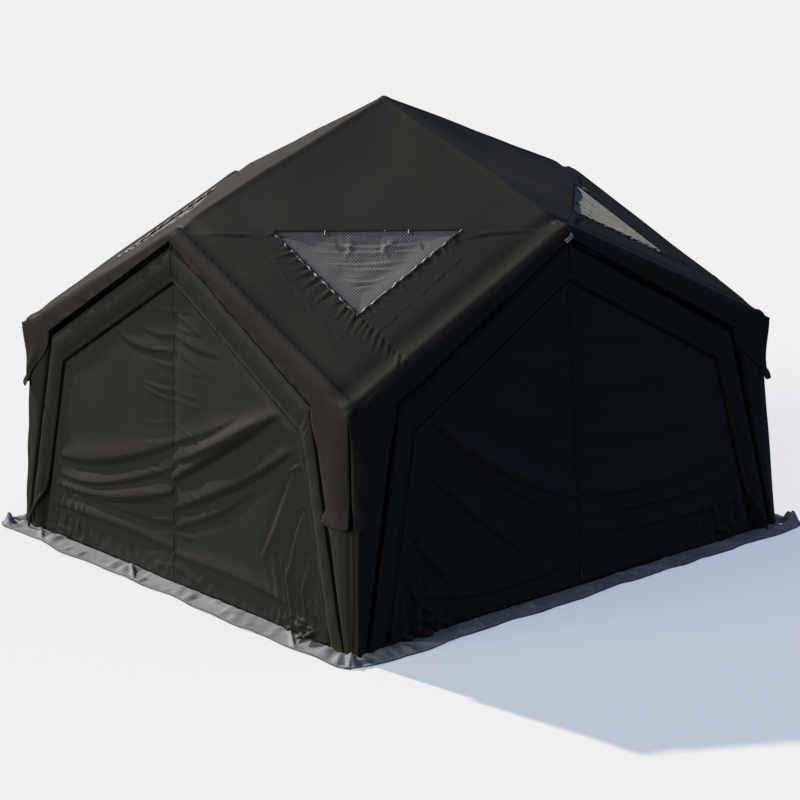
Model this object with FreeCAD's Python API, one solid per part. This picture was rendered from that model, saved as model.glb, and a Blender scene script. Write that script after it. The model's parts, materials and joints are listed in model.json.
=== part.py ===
import FreeCAD, Part
import math
import os

# Square air-beam shelter with four gables, in millimetres, +Z up, ground at z = 0.
# The origin is the middle of the floor. Wall 0 faces -Y, and the other walls follow
# anticlockwise as seen from above. Corner 0 is at the right-hand end of wall 0.

Vector = FreeCAD.Vector

# overall sizes of the outer cover
base_half_width = 1800.0
eave_half_width = 1722.0
eave_height = 1380.0
gable_height = 2185.0
apex_height = 2830.0

# fabric
cover_thickness = 3.0
skirt_thickness = 4.0
floor_thickness = 3.0
seam_gap = 3.0
cover_clearance = 0.5

# air beams, each a sealed bladder in a fabric sleeve
beam_radius = 74.0
bladder_wall = 1.5
sleeve_thickness = 3.0
sleeve_clearance = 1.0
wall_clearance = 3.0
roof_clearance = 8.0
hub_reach = 125.0
joint_gap = 1.0
foot_lift = 6.0

# layers of a wall, as depths behind the outermost face of the roof's edge
wrap_depth = 9.0
wall_depth = 36.0

# roof edge, corner tails and corner wraps
hem_drop_at_gable = 63.0
hem_drop_at_eave = 12.0
wrap_width_at_foot = 88.0
wrap_width_at_eave = 337.0
corner_gap = 14.0
tail_lengths = (375.0, 400.0, 400.0, 650.0)
tail_flare = 30.0

# doors
border_gable_width = 225.0
border_jamb_width = 182.0
door_gap = 4.0
door_foot_height = 22.0
flap_width = 42.0
flap_thickness = 5.0
zip_width = 9.0
zip_thickness = 3.0
zip_inset = 4.0
zip_foot_margin = 8.0
zip_head_margin = 48.0

# zip sliders
slider_length = 24.0
slider_width = 12.0
slider_height = 6.0
slider_clearance = 0.6
slider_parking = 60.0
pull_length = 38.0
pull_width = 8.0
pull_thickness = 2.0
pull_hole_radius = 2.2

# roof windows
window_side_band = 480.0
window_top_band = 14.0
window_zip_width = 22.0
mesh_thickness = 2.0
toggle_radius = 5.0
toggle_length = 40.0
toggle_share = 0.28
toggle_lift = 3.0

# ground skirt, floor and the webbing tab at the front peak
skirt_width = 172.0
floor_margin = 46.0
tab_width = 26.0
tab_length = 66.0
tab_thickness = 2.0

# inflation valve on the inner side of the back left corner beam
valve_height = 330.0
valve_radius = 17.0
valve_length = 24.0
collar_radius = 26.0
collar_thickness = 4.0
cap_radius = 20.0
cap_thickness = 7.0
cap_clearance = 0.5
cap_lug_radius = 6.0
cap_hinge_reach = 24.0

wall_names = ("front", "right", "back", "left")
corner_names = ("front_right", "back_right", "back_left", "front_left")
valve_corner = 2

lean = math.atan((base_half_width - eave_half_width) / eave_height)
eave_slope = eave_height / math.cos(lean)
gable_slope = gable_height / math.cos(lean)
sleeve_radius = beam_radius + sleeve_clearance + sleeve_thickness
wall_to_beam = wall_depth + cover_thickness + wall_clearance + sleeve_radius
roof_to_beam = cover_thickness + roof_clearance + sleeve_radius


# ---- points, planes and outlines ----

def on_wall(across, up, out=0.0):
    """Point on wall 0: across it, up its slope, and out from the cover's outermost face."""
    return Vector(
        across,
        -base_half_width + up * math.sin(lean) - out * math.cos(lean),
        up * math.cos(lean) + out * math.sin(lean),
    )


def up_to(height, depth):
    """How far up the wall's slope a point this far behind the outermost face has a height."""
    return (height + depth * math.sin(lean)) / math.cos(lean)


def turned_point(point, quarters):
    angle = math.radians(90.0 * quarters)
    return Vector(
        point.x * math.cos(angle) - point.y * math.sin(angle),
        point.x * math.sin(angle) + point.y * math.cos(angle),
        point.z,
    )


def turned(shape, quarters):
    """The same shape so many quarter turns further round the shelter."""
    copy = shape.copy()
    copy.rotate(Vector(0, 0, 0), Vector(0, 0, 1), 90.0 * quarters)
    return copy


def upward_normal(a, b, c):
    normal = (b - a).cross(c - a)
    normal.normalize()
    return normal if normal.z > 0 else -normal


def meeting(p, q, r, s):
    """Where the line through p and q crosses the line through r and s, all (x, y) pairs."""
    dx, dy = q[0] - p[0], q[1] - p[1]
    ex, ey = s[0] - r[0], s[1] - r[1]
    share = ((r[0] - p[0]) * ey - (r[1] - p[1]) * ex) / (dx * ey - dy * ex)
    return (p[0] + dx * share, p[1] + dy * share)


def moved_line(p, q, distance):
    """The line through p and q moved to its own left by a distance."""
    length = math.hypot(q[0] - p[0], q[1] - p[1])
    nx, ny = -(q[1] - p[1]) / length, (q[0] - p[0]) / length
    return (
        (p[0] + nx * distance, p[1] + ny * distance),
        (q[0] + nx * distance, q[1] + ny * distance),
    )


def inset(outline, margins):
    """An anticlockwise outline with each edge moved inwards by its own margin."""
    count = len(outline)
    if isinstance(margins, float):
        margins = [margins] * count
    lines = [
        moved_line(outline[i], outline[(i + 1) % count], margins[i])
        for i in range(count)
    ]
    return [meeting(*lines[i - 1], *lines[i]) for i in range(count)]


def plate(points, outward, thickness):
    """Flat panel whose outer face has these corners and whose body lies behind it."""
    face = Part.Face(Part.makePolygon(points + [points[0]]))
    return face.extrude(outward * -thickness)


wall_outward = on_wall(0, 0, 1) - on_wall(0, 0, 0)


def wall_plate(outline, depth, thickness=cover_thickness):
    """Flat panel on wall 0, with its outer face this far behind the outermost face."""
    points = [on_wall(across, up, -depth) for across, up in outline]
    return plate(points, wall_outward, thickness)


def mirrored(outline):
    """The outline on the other side of the wall's middle, still anticlockwise."""
    return [(-across, up) for across, up in reversed(outline)]


def both_sides(outline, depth, thickness=cover_thickness):
    return [
        wall_plate(outline, depth, thickness),
        wall_plate(mirrored(outline), depth, thickness),
    ]


# ---- main points of the cover ----

eave_corner = on_wall(eave_half_width, eave_slope)
gable = on_wall(0, gable_slope)
next_gable = turned_point(gable, 1)
apex = Vector(0, 0, apex_height)

roof_corner_normal = upward_normal(gable, eave_corner, next_gable)
roof_top_normal = upward_normal(apex, gable, next_gable)

# where the corner wrap ends and the wall's border begins: foot, eave corner, gable peak
wrap_foot = (base_half_width - wrap_width_at_foot, 0.0)
wrap_eave = (eave_half_width - wrap_width_at_eave, eave_slope - hem_drop_at_eave)
hem_peak = (0.0, gable_slope - hem_drop_at_gable)


def door_corners():
    """Foot, eave corner and peak of the right half of the door's outline."""
    jamb = moved_line(wrap_foot, wrap_eave, border_jamb_width)
    top = moved_line(wrap_eave, hem_peak, border_gable_width)
    foot = meeting(*jamb, (0.0, door_foot_height), (1.0, door_foot_height))
    peak = meeting(*top, (0.0, 0.0), (0.0, 1.0))
    return foot, meeting(*jamb, *top), peak


door_foot, door_eave, door_peak = door_corners()


def corner_edge(up):
    """Half width of the cover at this height up the slope."""
    return base_half_width + (eave_half_width - base_half_width) * up / eave_slope


# ---- air beams ----

def beam_line_offset(direction, wall_normal, roof_normal):
    """Offset that puts a beam at its clearance from the wall and from the roof."""
    planes = FreeCAD.Matrix(
        wall_normal.x, wall_normal.y, wall_normal.z, 0,
        roof_normal.x, roof_normal.y, roof_normal.z, 0,
        direction.x, direction.y, direction.z, 0,
        0, 0, 0, 1,
    )
    return planes.inverse().multVec(Vector(-wall_to_beam, -roof_to_beam, 0))


def beam_centres():
    """Centres of the gable hub, the corner hub, the apex hub and a corner beam's foot."""
    direction = eave_corner - gable
    shift = beam_line_offset(direction, wall_outward, roof_corner_normal)
    start = gable + shift
    gable_hub = start + direction * (-start.x / direction.x)
    on_diagonal = -(start.x + start.y) / (direction.x + direction.y)
    corner_hub = start + direction * on_diagonal
    apex_hub = apex - Vector(0, 0, roof_to_beam / roof_top_normal.z)
    foot_half = base_half_width - wall_to_beam / math.cos(lean)
    down = Vector(foot_half, -foot_half, 0) - corner_hub
    rim_drop = sleeve_radius * math.hypot(down.x, down.y) / down.Length
    lift = foot_lift + rim_drop
    return gable_hub, corner_hub, apex_hub, corner_hub + down * (1 - lift / corner_hub.z)


gable_hub, corner_hub, apex_hub, corner_foot = beam_centres()


def tube(start, end, radius, wall=None):
    """Cylinder from start to end, or an open tube with this wall."""
    axis = end - start
    solid = Part.makeCylinder(radius, axis.Length, start, axis)
    if wall is None:
        return solid
    return solid.cut(Part.makeCylinder(radius - wall, axis.Length, start, axis))


def bladder(start, end):
    """Sealed air beam, hollow, with flat welded ends."""
    axis = end - start
    axis.normalize()
    outer = tube(start, end, beam_radius)
    inner = tube(
        start + axis * bladder_wall, end - axis * bladder_wall, beam_radius - bladder_wall
    )
    return outer.cut(inner)


def beam(start, end, from_hub, to_hub):
    """A bladder and its sleeve between two points, kept clear of the hubs at its ends."""
    axis = end - start
    axis.normalize()
    first = start + axis * ((hub_reach + joint_gap) if from_hub else 0.0)
    last = end - axis * ((hub_reach + joint_gap) if to_hub else 0.0)
    return bladder(first, last), tube(first, last, sleeve_radius, sleeve_thickness)


def hub_form(centre, ends, radius, reach):
    body = Part.makeSphere(radius, centre)
    for end in ends:
        axis = end - centre
        axis.normalize()
        body = body.fuse(tube(centre, centre + axis * reach, radius))
    return body.removeSplitter()


def hub(centre, ends):
    """Hollow welded elbow where beams meet: a ball with a closed stub towards each beam."""
    outer = hub_form(centre, ends, sleeve_radius, hub_reach)
    inner_radius = sleeve_radius - sleeve_thickness
    return outer.cut(hub_form(centre, ends, inner_radius, hub_reach - sleeve_thickness))


def air_frame():
    other_corner_hub = Vector(-corner_hub.x, corner_hub.y, corner_hub.z)
    last_gable_hub = turned_point(gable_hub, 1)
    corner_pair = beam(corner_foot, corner_hub, False, True)
    right_pair = beam(gable_hub, corner_hub, True, True)
    left_pair = beam(gable_hub, other_corner_hub, True, True)
    ridge_pair = beam(gable_hub, apex_hub, True, True)
    gable_joint = hub(gable_hub, [corner_hub, other_corner_hub, apex_hub])
    corner_joint = hub(corner_hub, [corner_foot, gable_hub, last_gable_hub])
    gable_hubs = [turned_point(gable_hub, k) for k in range(4)]
    return {
        "corner_beam_bladders": all_round([corner_pair[0]]),
        "corner_beam_sleeves": all_round([corner_pair[1]]),
        "gable_beam_bladders": all_round([right_pair[0], left_pair[0]]),
        "gable_beam_sleeves": all_round([right_pair[1], left_pair[1]]),
        "ridge_beam_bladders": all_round([ridge_pair[0]]),
        "ridge_beam_sleeves": all_round([ridge_pair[1]]),
        "gable_hubs": all_round([gable_joint]),
        "corner_hubs": all_round([corner_joint]),
        "apex_hub": [hub(apex_hub, gable_hubs)],
    }


def all_round(shapes):
    """Copies of these shapes at all four walls."""
    return [turned(shape, k) for k in range(4) for shape in shapes]


# ---- roof ----

# flat coordinates of a roof corner: along the crease between the gables, and down to the eave
crease_along = (next_gable - gable).normalize()
crease_down = crease_along.cross(roof_corner_normal)
crease_length = (next_gable - gable).Length
eave_flat = (
    (eave_corner - gable).dot(crease_along),
    -(eave_corner - gable).dot(crease_down),
)


def on_roof_corner(point, out=0.0):
    along, up = point
    return gable + crease_along * along - crease_down * up + roof_corner_normal * out


def roof_plate(outline, out=0.0, thickness=cover_thickness):
    points = [on_roof_corner(point, out) for point in outline]
    return plate(points, roof_corner_normal, thickness)


def window_points():
    """Top left, tip and top right of the window, and where its left seam meets the right edge."""
    left_end, right_end = (0.0, 0.0), (crease_length, 0.0)
    left_seam = moved_line(left_end, eave_flat, window_side_band)
    right_seam = moved_line(eave_flat, right_end, window_side_band)
    top = moved_line(right_end, left_end, window_top_band)
    tip = meeting(*left_seam, *right_seam)
    seam_end = meeting(*left_seam, eave_flat, right_end)
    return meeting(*left_seam, *top), tip, meeting(*right_seam, *top), seam_end


window_left, window_tip, window_right, seam_end = window_points()


def roof_corner_panels():
    """Left band running through to the eave, and right band butting on it."""
    left_end, right_end = (0.0, 0.0), (crease_length, 0.0)
    left_top = meeting(window_left, window_tip, left_end, right_end)
    right_top = meeting(window_right, window_tip, left_end, right_end)
    half_gap = seam_gap / 2
    left_band = inset([left_end, eave_flat, seam_end, left_top],
                      [seam_gap, seam_gap, half_gap, seam_gap])
    right_band = inset([seam_end, right_end, right_top, window_tip],
                       [seam_gap, seam_gap, half_gap, half_gap])
    return [roof_plate(left_band), roof_plate(right_band)]


def window_mesh():
    outline = inset([window_left, window_tip, window_right], seam_gap)
    return roof_plate(outline, 0.0, mesh_thickness)


def window_zip(start, end):
    """Zip tape on the seam between start and end."""
    outer = moved_line(start, end, window_zip_width / 2)
    inner = moved_line(start, end, -window_zip_width / 2)
    outline = [inner[0], inner[1], outer[1], outer[0]]
    return roof_plate(outline, zip_thickness + cover_clearance, zip_thickness)


def shortened(start, end, from_start, from_end):
    """Two points on a line, each moved in from its end."""
    length = math.hypot(end[0] - start[0], end[1] - start[1])
    ux, uy = (end[0] - start[0]) / length, (end[1] - start[1]) / length
    return (
        (start[0] + ux * from_start, start[1] + uy * from_start),
        (end[0] - ux * from_end, end[1] - uy * from_end),
    )


window_left_zip = shortened(window_left, window_tip, window_zip_width, 0.0)
window_right_zip = shortened(window_tip, window_right, 1.5 * window_zip_width, window_zip_width)


def roof_top_panel():
    """One of the four top facets, from the apex to two gables."""
    along = (next_gable - gable).normalize()
    upwards = roof_top_normal.cross(along)
    peak = ((apex - gable).dot(along), (apex - gable).dot(upwards))
    outline = inset([(0.0, 0.0), (crease_length, 0.0), peak], seam_gap)
    points = [gable + along * a + upwards * b for a, b in outline]
    return plate(points, roof_top_normal, cover_thickness)


def window_toggles():
    """Two toggles on the top edge of a window, which hold its rolled cover."""
    pair = []
    width = window_right[0] - window_left[0]
    for share in (toggle_share, 1 - toggle_share):
        along = window_left[0] + width * share
        lift = toggle_radius + toggle_lift
        top = on_roof_corner((along, window_left[1] - toggle_radius), lift)
        bottom = on_roof_corner((along, window_left[1] - toggle_radius - toggle_length), lift)
        pair.append(tube(top, bottom, toggle_radius))
    return pair


# ---- walls ----

def eave_valance():
    """Edge of the roof cover that hangs over the head of a wall, one strip each side."""
    outline = [wrap_eave, (eave_half_width, eave_slope), (0.0, gable_slope), hem_peak]
    return both_sides(inset(outline, [0.5, seam_gap, seam_gap, seam_gap / 2]), 0.0)


def corner_tail(length):
    """Tail of the roof cover on one side of a corner, flared at its free end."""
    low = eave_slope - hem_drop_at_eave - length
    share = length / (eave_slope - hem_drop_at_eave)
    inner = wrap_eave[0] + (wrap_foot[0] - wrap_eave[0]) * share - tail_flare
    outline = [
        (inner, low),
        (corner_edge(low) - corner_gap, low),
        (eave_half_width - corner_gap, wrap_eave[1]),
        wrap_eave,
    ]
    return inset(outline, [0.0, 0.0, 0.5, 0.0])


def corner_wrap():
    """Fabric round a corner beam on one wall, from the corner to the wall's border."""
    foot = up_to(foot_lift, wrap_depth + cover_thickness)
    outline = [
        meeting(wrap_foot, wrap_eave, (0.0, foot), (1.0, foot)),
        (corner_edge(foot) - corner_gap, foot),
        (eave_half_width - corner_gap, wrap_eave[1]),
        wrap_eave,
    ]
    return both_sides(outline, wrap_depth)


def wall_border():
    """Fixed fabric round a door: a jamb and a gable strip on each side."""
    foot = up_to(foot_lift, wall_depth + cover_thickness)
    foot_out = meeting(wrap_foot, wrap_eave, (0.0, foot), (1.0, foot))
    foot_in = meeting(door_foot, door_eave, (0.0, foot), (1.0, foot))
    jamb = [foot_in, foot_out, wrap_eave, door_eave]
    head = [door_eave, wrap_eave, hem_peak, door_peak]
    half_gap = seam_gap / 4
    return (
        both_sides(inset(jamb, [0.0, 0.0, half_gap, 0.0]), wall_depth)
        + both_sides(inset(head, [half_gap, 0.0, half_gap, 0.0]), wall_depth)
    )


def storm_flaps():
    """Raised strips on the border along the door's outline, joined at mitres."""
    out_foot, in_foot = storm_line(door_foot, door_eave)
    foot_out = meeting(*out_foot, (0.0, door_foot_height), (1.0, door_foot_height))
    foot_in = meeting(*in_foot, (0.0, door_foot_height), (1.0, door_foot_height))
    out_head, in_head = storm_line(door_eave, door_peak)
    bend_out, bend_in = meeting(*out_foot, *out_head), meeting(*in_foot, *in_head)
    peak_out = meeting(*out_head, (0.0, 0.0), (0.0, 1.0))
    peak_in = meeting(*in_head, (0.0, 0.0), (0.0, 1.0))
    depth = wall_depth - flap_thickness
    half_gap = seam_gap / 4
    jamb = inset([foot_in, foot_out, bend_out, bend_in], [0.0, 0.0, half_gap, 0.0])
    head = inset([bend_in, bend_out, peak_out, peak_in], [half_gap, 0.0, half_gap, 0.0])
    return both_sides(jamb, depth, flap_thickness) + both_sides(head, depth, flap_thickness)


def storm_line(start, end):
    """Outer and inner edge lines of a storm flap along one side of the door."""
    return moved_line(start, end, -door_gap - flap_width), moved_line(start, end, -door_gap)


def door_leaf(side):
    """Half of a door, from the middle of the wall to a jamb; side is +1 right or -1 left."""
    outline = [(0.0, door_foot[1]), door_foot, door_eave, door_peak]
    outline = inset(outline, [0.0, door_gap, door_gap, seam_gap / 4])
    return wall_plate(outline if side > 0 else mirrored(outline), wall_depth)


def door_hinge(side):
    """Foot and head of the seam that a door leaf swings about, on its outer face."""
    foot, head = moved_line(door_foot, door_eave, door_gap)
    return on_wall(side * foot[0], foot[1], -wall_depth), \
        on_wall(side * head[0], head[1], -wall_depth)


# the middle zip is sewn to the left leaf, beside its free edge
zip_across = -(zip_inset + zip_width / 2 + seam_gap / 4)
zip_foot = door_foot[1] + zip_foot_margin
zip_head = door_peak[1] - zip_head_margin


def door_zip():
    outline = [
        (zip_across - zip_width / 2, zip_foot),
        (zip_across + zip_width / 2, zip_foot),
        (zip_across + zip_width / 2, zip_head),
        (zip_across - zip_width / 2, zip_head),
    ]
    return wall_plate(outline, wall_depth - zip_thickness - cover_clearance, zip_thickness)


def slider():
    """Zip slider with its pull, lying flat: it runs along X, and its underside is z = 0."""
    body = Part.makeBox(slider_length, slider_width, slider_height,
                        Vector(-slider_length / 2, -slider_width / 2, 0))
    edges = [e for e in body.Edges if abs(e.Vertexes[0].Z - e.Vertexes[-1].Z) > 1]
    body = body.makeFillet(slider_width * 0.3, edges)
    bridge_height = pull_thickness * 2
    bridge = Part.makeBox(slider_length * 0.5, pull_thickness * 1.5, bridge_height,
                          Vector(-slider_length / 4, -pull_thickness * 0.75, slider_height))
    pull = Part.makeBox(pull_length, pull_width, pull_thickness,
                        Vector(0, -pull_width / 2, slider_height + pull_thickness * 0.5))
    hole = Part.makeCylinder(pull_hole_radius, pull_thickness * 3,
                             Vector(pull_length - pull_width / 2, 0, slider_height))
    return body.fuse(bridge).fuse(pull.cut(hole)).removeSplitter()


def laid(shape, centre, along, outward):
    """A flat-lying shape moved so that its X runs along, its Z outward, from a centre."""
    side = outward.cross(along)
    placed = shape.copy()
    placed.Placement = FreeCAD.Placement(FreeCAD.Matrix(
        along.x, side.x, outward.x, centre.x,
        along.y, side.y, outward.y, centre.y,
        along.z, side.z, outward.z, centre.z,
        0, 0, 0, 1,
    ))
    return placed


def door_slider():
    """Closed at rest: at the foot of the zip, with its pull hanging up the zip's line."""
    out = -wall_depth + zip_thickness + cover_clearance + slider_clearance
    centre = on_wall(zip_across, zip_foot + slider_parking, out)
    return laid(slider(), centre, on_wall(0, 0) - on_wall(0, 1), wall_outward)


def window_slider():
    """Parked at the top of the right-hand side of a window."""
    start, end = window_right_zip
    near_end = shortened(start, end, 0.0, slider_parking)[1]
    out = zip_thickness + cover_clearance + slider_clearance
    centre = on_roof_corner(near_end, out)
    along = (on_roof_corner(start) - on_roof_corner(end)).normalize()
    return laid(slider(), centre, along, roof_corner_normal)


# ---- ground and details ----

def ground_skirt():
    """Flat strip on the ground along a wall, and the square that turns the corner."""
    inner = base_half_width - wall_depth + joint_gap
    outer = inner + skirt_width
    strip = Part.makeBox(2 * inner, skirt_width, skirt_thickness,
                         Vector(-inner, -outer, 0))
    corner = Part.makeBox(skirt_width - joint_gap, skirt_width - joint_gap, skirt_thickness,
                          Vector(inner + joint_gap, -outer, 0))
    return [strip, corner]


def groundsheet():
    half = base_half_width - floor_margin
    return Part.makeBox(2 * half, 2 * half, floor_thickness, Vector(-half, -half, 0))


def peak_tab():
    """Short webbing tab hanging on the border under the front gable's peak."""
    top = hem_peak[1] - 2 * seam_gap
    outline = [
        (-tab_width / 2, top - tab_length),
        (tab_width / 2, top - tab_length),
        (tab_width / 2, top),
        (-tab_width / 2, top),
    ]
    return wall_plate(outline, wall_depth - tab_thickness - cover_clearance, tab_thickness)


def valve_frame():
    """Point on the sleeve's inner side, facing the middle of the shelter, and its outward."""
    axis = corner_hub - corner_foot
    centre = corner_foot + axis * ((valve_height - corner_foot.z) / axis.z)
    inwards = Vector(-1, 1, 0).normalize()
    inwards = (inwards - axis * (inwards.dot(axis) / axis.dot(axis))).normalize()
    return turned_point(centre + inwards * sleeve_radius, valve_corner), \
        turned_point(inwards, valve_corner)


def valve():
    """Valve body on its welded collar."""
    seat, outward = valve_frame()
    start = seat + outward * cover_clearance
    body = tube(start, start + outward * valve_length, valve_radius)
    collar = tube(start, start + outward * collar_thickness, collar_radius)
    return body.fuse(collar).removeSplitter()


def valve_cap():
    """Round cap on the valve's mouth, with a lug for its hinge at the top."""
    seat, outward = valve_frame()
    start = seat + outward * (cover_clearance + valve_length + cap_clearance)
    cap = tube(start, start + outward * cap_thickness, cap_radius)
    lug_start = start + valve_upwards(outward) * cap_hinge_reach
    lug = tube(lug_start, lug_start + outward * cap_thickness, cap_lug_radius)
    return cap.fuse(lug).removeSplitter()


def valve_upwards(outward):
    """Steepest way up the valve's mouth."""
    return (Vector(0, 0, 1) - outward * outward.z).normalize()


def valve_hinge():
    """Point on the cap's hinge, in the plane of the valve's mouth, and its axis."""
    seat, outward = valve_frame()
    upwards = valve_upwards(outward)
    mouth = seat + outward * (cover_clearance + valve_length)
    return mouth + upwards * cap_hinge_reach, outward.cross(upwards)


# ---- writing the nodes ----

def save(node, shapes):
    shape = shapes[0] if len(shapes) == 1 else Part.makeCompound(shapes)
    shape.exportStep(os.path.join("parts", node + ".step"))


def build():
    os.makedirs("parts", exist_ok=True)
    nodes = air_frame()
    zips = [window_zip(*window_left_zip), window_zip(*window_right_zip)]
    for k in range(4):
        wall, corner = wall_names[k], corner_names[k]
        nodes["roof_top_panel_" + corner] = [turned(roof_top_panel(), k)]
        nodes["roof_corner_panel_" + corner] = [turned(s, k) for s in roof_corner_panels()]
        nodes["window_mesh_" + corner] = [turned(window_mesh(), k)]
        nodes["window_slider_" + corner] = [turned(window_slider(), k)]
        nodes["eave_valance_" + wall] = [turned(s, k) for s in eave_valance()]
        nodes["wall_border_" + wall] = [turned(s, k) for s in wall_border()]
        nodes["door_leaf_left_" + wall] = [turned(door_leaf(-1), k)]
        nodes["door_leaf_right_" + wall] = [turned(door_leaf(1), k)]
        nodes["door_zip_" + wall] = [turned(door_zip(), k)]
        nodes["door_slider_" + wall] = [turned(door_slider(), k)]
    nodes["window_zips"] = all_round(zips)
    nodes["window_toggles"] = all_round(window_toggles())
    nodes["storm_flaps"] = all_round(storm_flaps())
    nodes["corner_wraps"] = all_round(corner_wrap())
    nodes["corner_tails"] = []
    for k, length in enumerate(tail_lengths):
        right = wall_plate(corner_tail(length), 0.0)
        left = wall_plate(mirrored(corner_tail(length)), 0.0)
        nodes["corner_tails"] += [turned(right, k), turned(left, k + 1)]
    nodes["ground_skirt"] = all_round(ground_skirt())
    nodes["groundsheet"] = [groundsheet()]
    nodes["peak_tab"] = [peak_tab()]
    nodes["valve_body"] = [valve()]
    nodes["valve_cap"] = [valve_cap()]
    for node, shapes in nodes.items():
        save(node, shapes)
    print(len(nodes), "nodes")


build()
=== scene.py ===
import bpy
import json
import math
import numpy as np
from mathutils import Matrix

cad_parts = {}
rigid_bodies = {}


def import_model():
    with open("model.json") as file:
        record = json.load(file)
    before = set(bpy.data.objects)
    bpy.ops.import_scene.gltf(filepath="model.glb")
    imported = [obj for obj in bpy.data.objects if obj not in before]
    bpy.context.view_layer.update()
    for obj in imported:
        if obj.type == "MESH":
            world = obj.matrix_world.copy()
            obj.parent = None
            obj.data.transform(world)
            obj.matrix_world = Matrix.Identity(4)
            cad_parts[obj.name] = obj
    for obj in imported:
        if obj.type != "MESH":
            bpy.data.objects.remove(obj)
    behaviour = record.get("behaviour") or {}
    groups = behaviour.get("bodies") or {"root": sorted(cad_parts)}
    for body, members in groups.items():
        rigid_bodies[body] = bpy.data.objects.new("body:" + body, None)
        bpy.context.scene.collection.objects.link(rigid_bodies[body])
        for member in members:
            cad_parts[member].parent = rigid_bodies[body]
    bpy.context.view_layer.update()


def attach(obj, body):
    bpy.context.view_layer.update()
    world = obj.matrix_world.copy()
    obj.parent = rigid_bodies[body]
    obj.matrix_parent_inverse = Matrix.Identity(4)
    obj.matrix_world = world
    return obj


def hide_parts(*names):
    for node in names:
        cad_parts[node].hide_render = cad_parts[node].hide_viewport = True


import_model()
print("frame loaded")

# main sizes of the cover in metres, as the CAD has them
tent = {
    "baseHalf": 1.800, "eaveHalf": 1.722, "eaveHeight": 1.380,
    "gableHeight": 2.185, "apexHeight": 2.830,
    "wallDepth": 0.036, "hemDropGable": 0.063, "hemDropEave": 0.012,
    "wrapFoot": 0.088, "wrapEave": 0.337,
    "borderGable": 0.225, "borderJamb": 0.182, "doorFoot": 0.022,
}
wallNames = ["front", "right", "back", "left"]
cornerNames = ["front_right", "back_right", "back_left", "front_left"]
lean = math.atan((tent["baseHalf"] - tent["eaveHalf"]) / tent["eaveHeight"])
eaveUp = tent["eaveHeight"] / math.cos(lean)
gableUp = tent["gableHeight"] / math.cos(lean)


# small helpers for points and lines

def turn(points, quarters):  # points turned about Z by quarter turns
    c, s = [(1, 0), (0, 1), (-1, 0), (0, -1)][quarters % 4]
    p = np.asarray(points, float)
    return np.stack([c * p[..., 0] - s * p[..., 1], s * p[..., 0] + c * p[..., 1], p[..., 2]], -1)


def onWall(across, up, out, quarters):  # across a wall, up its slope, out from its outermost face
    across, up, out = np.broadcast_arrays(across, up, out)
    y = -tent["baseHalf"] + up * math.sin(lean) - out * math.cos(lean)
    z = up * math.cos(lean) + out * math.sin(lean)
    return turn(np.stack([across, y, z], -1), quarters)


def movedLine(p, q, distance):  # the line p to q moved to its own left
    length = math.hypot(q[0] - p[0], q[1] - p[1])
    nx, ny = -(q[1] - p[1]) / length * distance, (q[0] - p[0]) / length * distance
    return (p[0] + nx, p[1] + ny), (q[0] + nx, q[1] + ny)


def meeting(p, q, r, s):  # where two lines cross
    dx, dy, ex, ey = q[0] - p[0], q[1] - p[1], s[0] - r[0], s[1] - r[1]
    share = ((r[0] - p[0]) * ey - (r[1] - p[1]) * ex) / (dx * ey - dy * ex)
    return p[0] + dx * share, p[1] + dy * share


wrapFoot = (tent["baseHalf"] - tent["wrapFoot"], 0.0)
wrapEave = (tent["eaveHalf"] - tent["wrapEave"], eaveUp - tent["hemDropEave"])
hemPeak = (0.0, gableUp - tent["hemDropGable"])
jambLine = movedLine(wrapFoot, wrapEave, tent["borderJamb"])
headLine = movedLine(wrapEave, hemPeak, tent["borderGable"])
doorFoot = meeting(*jambLine, (0.0, tent["doorFoot"]), (1.0, tent["doorFoot"]))
doorEave = meeting(*jambLine, *headLine)
doorPeak = meeting(*headLine, (0.0, 0.0), (0.0, 1.0))


def lattice(first, second):  # every pair of two lists of numbers, as two grids
    return np.meshgrid(first, second, indexing="ij")


def smoothStep(x, low, high):
    t = np.clip((x - low) / (high - low), 0, 1)
    return t * t * (3 - 2 * t)


def bump(x, centre, width):  # smooth hill one high
    return np.exp(-((x - centre) / width) ** 2)


def ripples(x, y, seed, count, shortest, longest):  # sum of seeded sine waves, about -1 to 1
    rng = np.random.default_rng(seed)
    total = np.zeros(np.broadcast(x, y).shape)
    for _ in range(count):
        angle = rng.uniform(0, math.pi)
        wave = 2 * math.pi / rng.uniform(shortest, longest)
        total += np.sin(wave * (x * math.cos(angle) + y * math.sin(angle)) + rng.uniform(0, 6.28))
    return total / math.sqrt(count)


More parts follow.
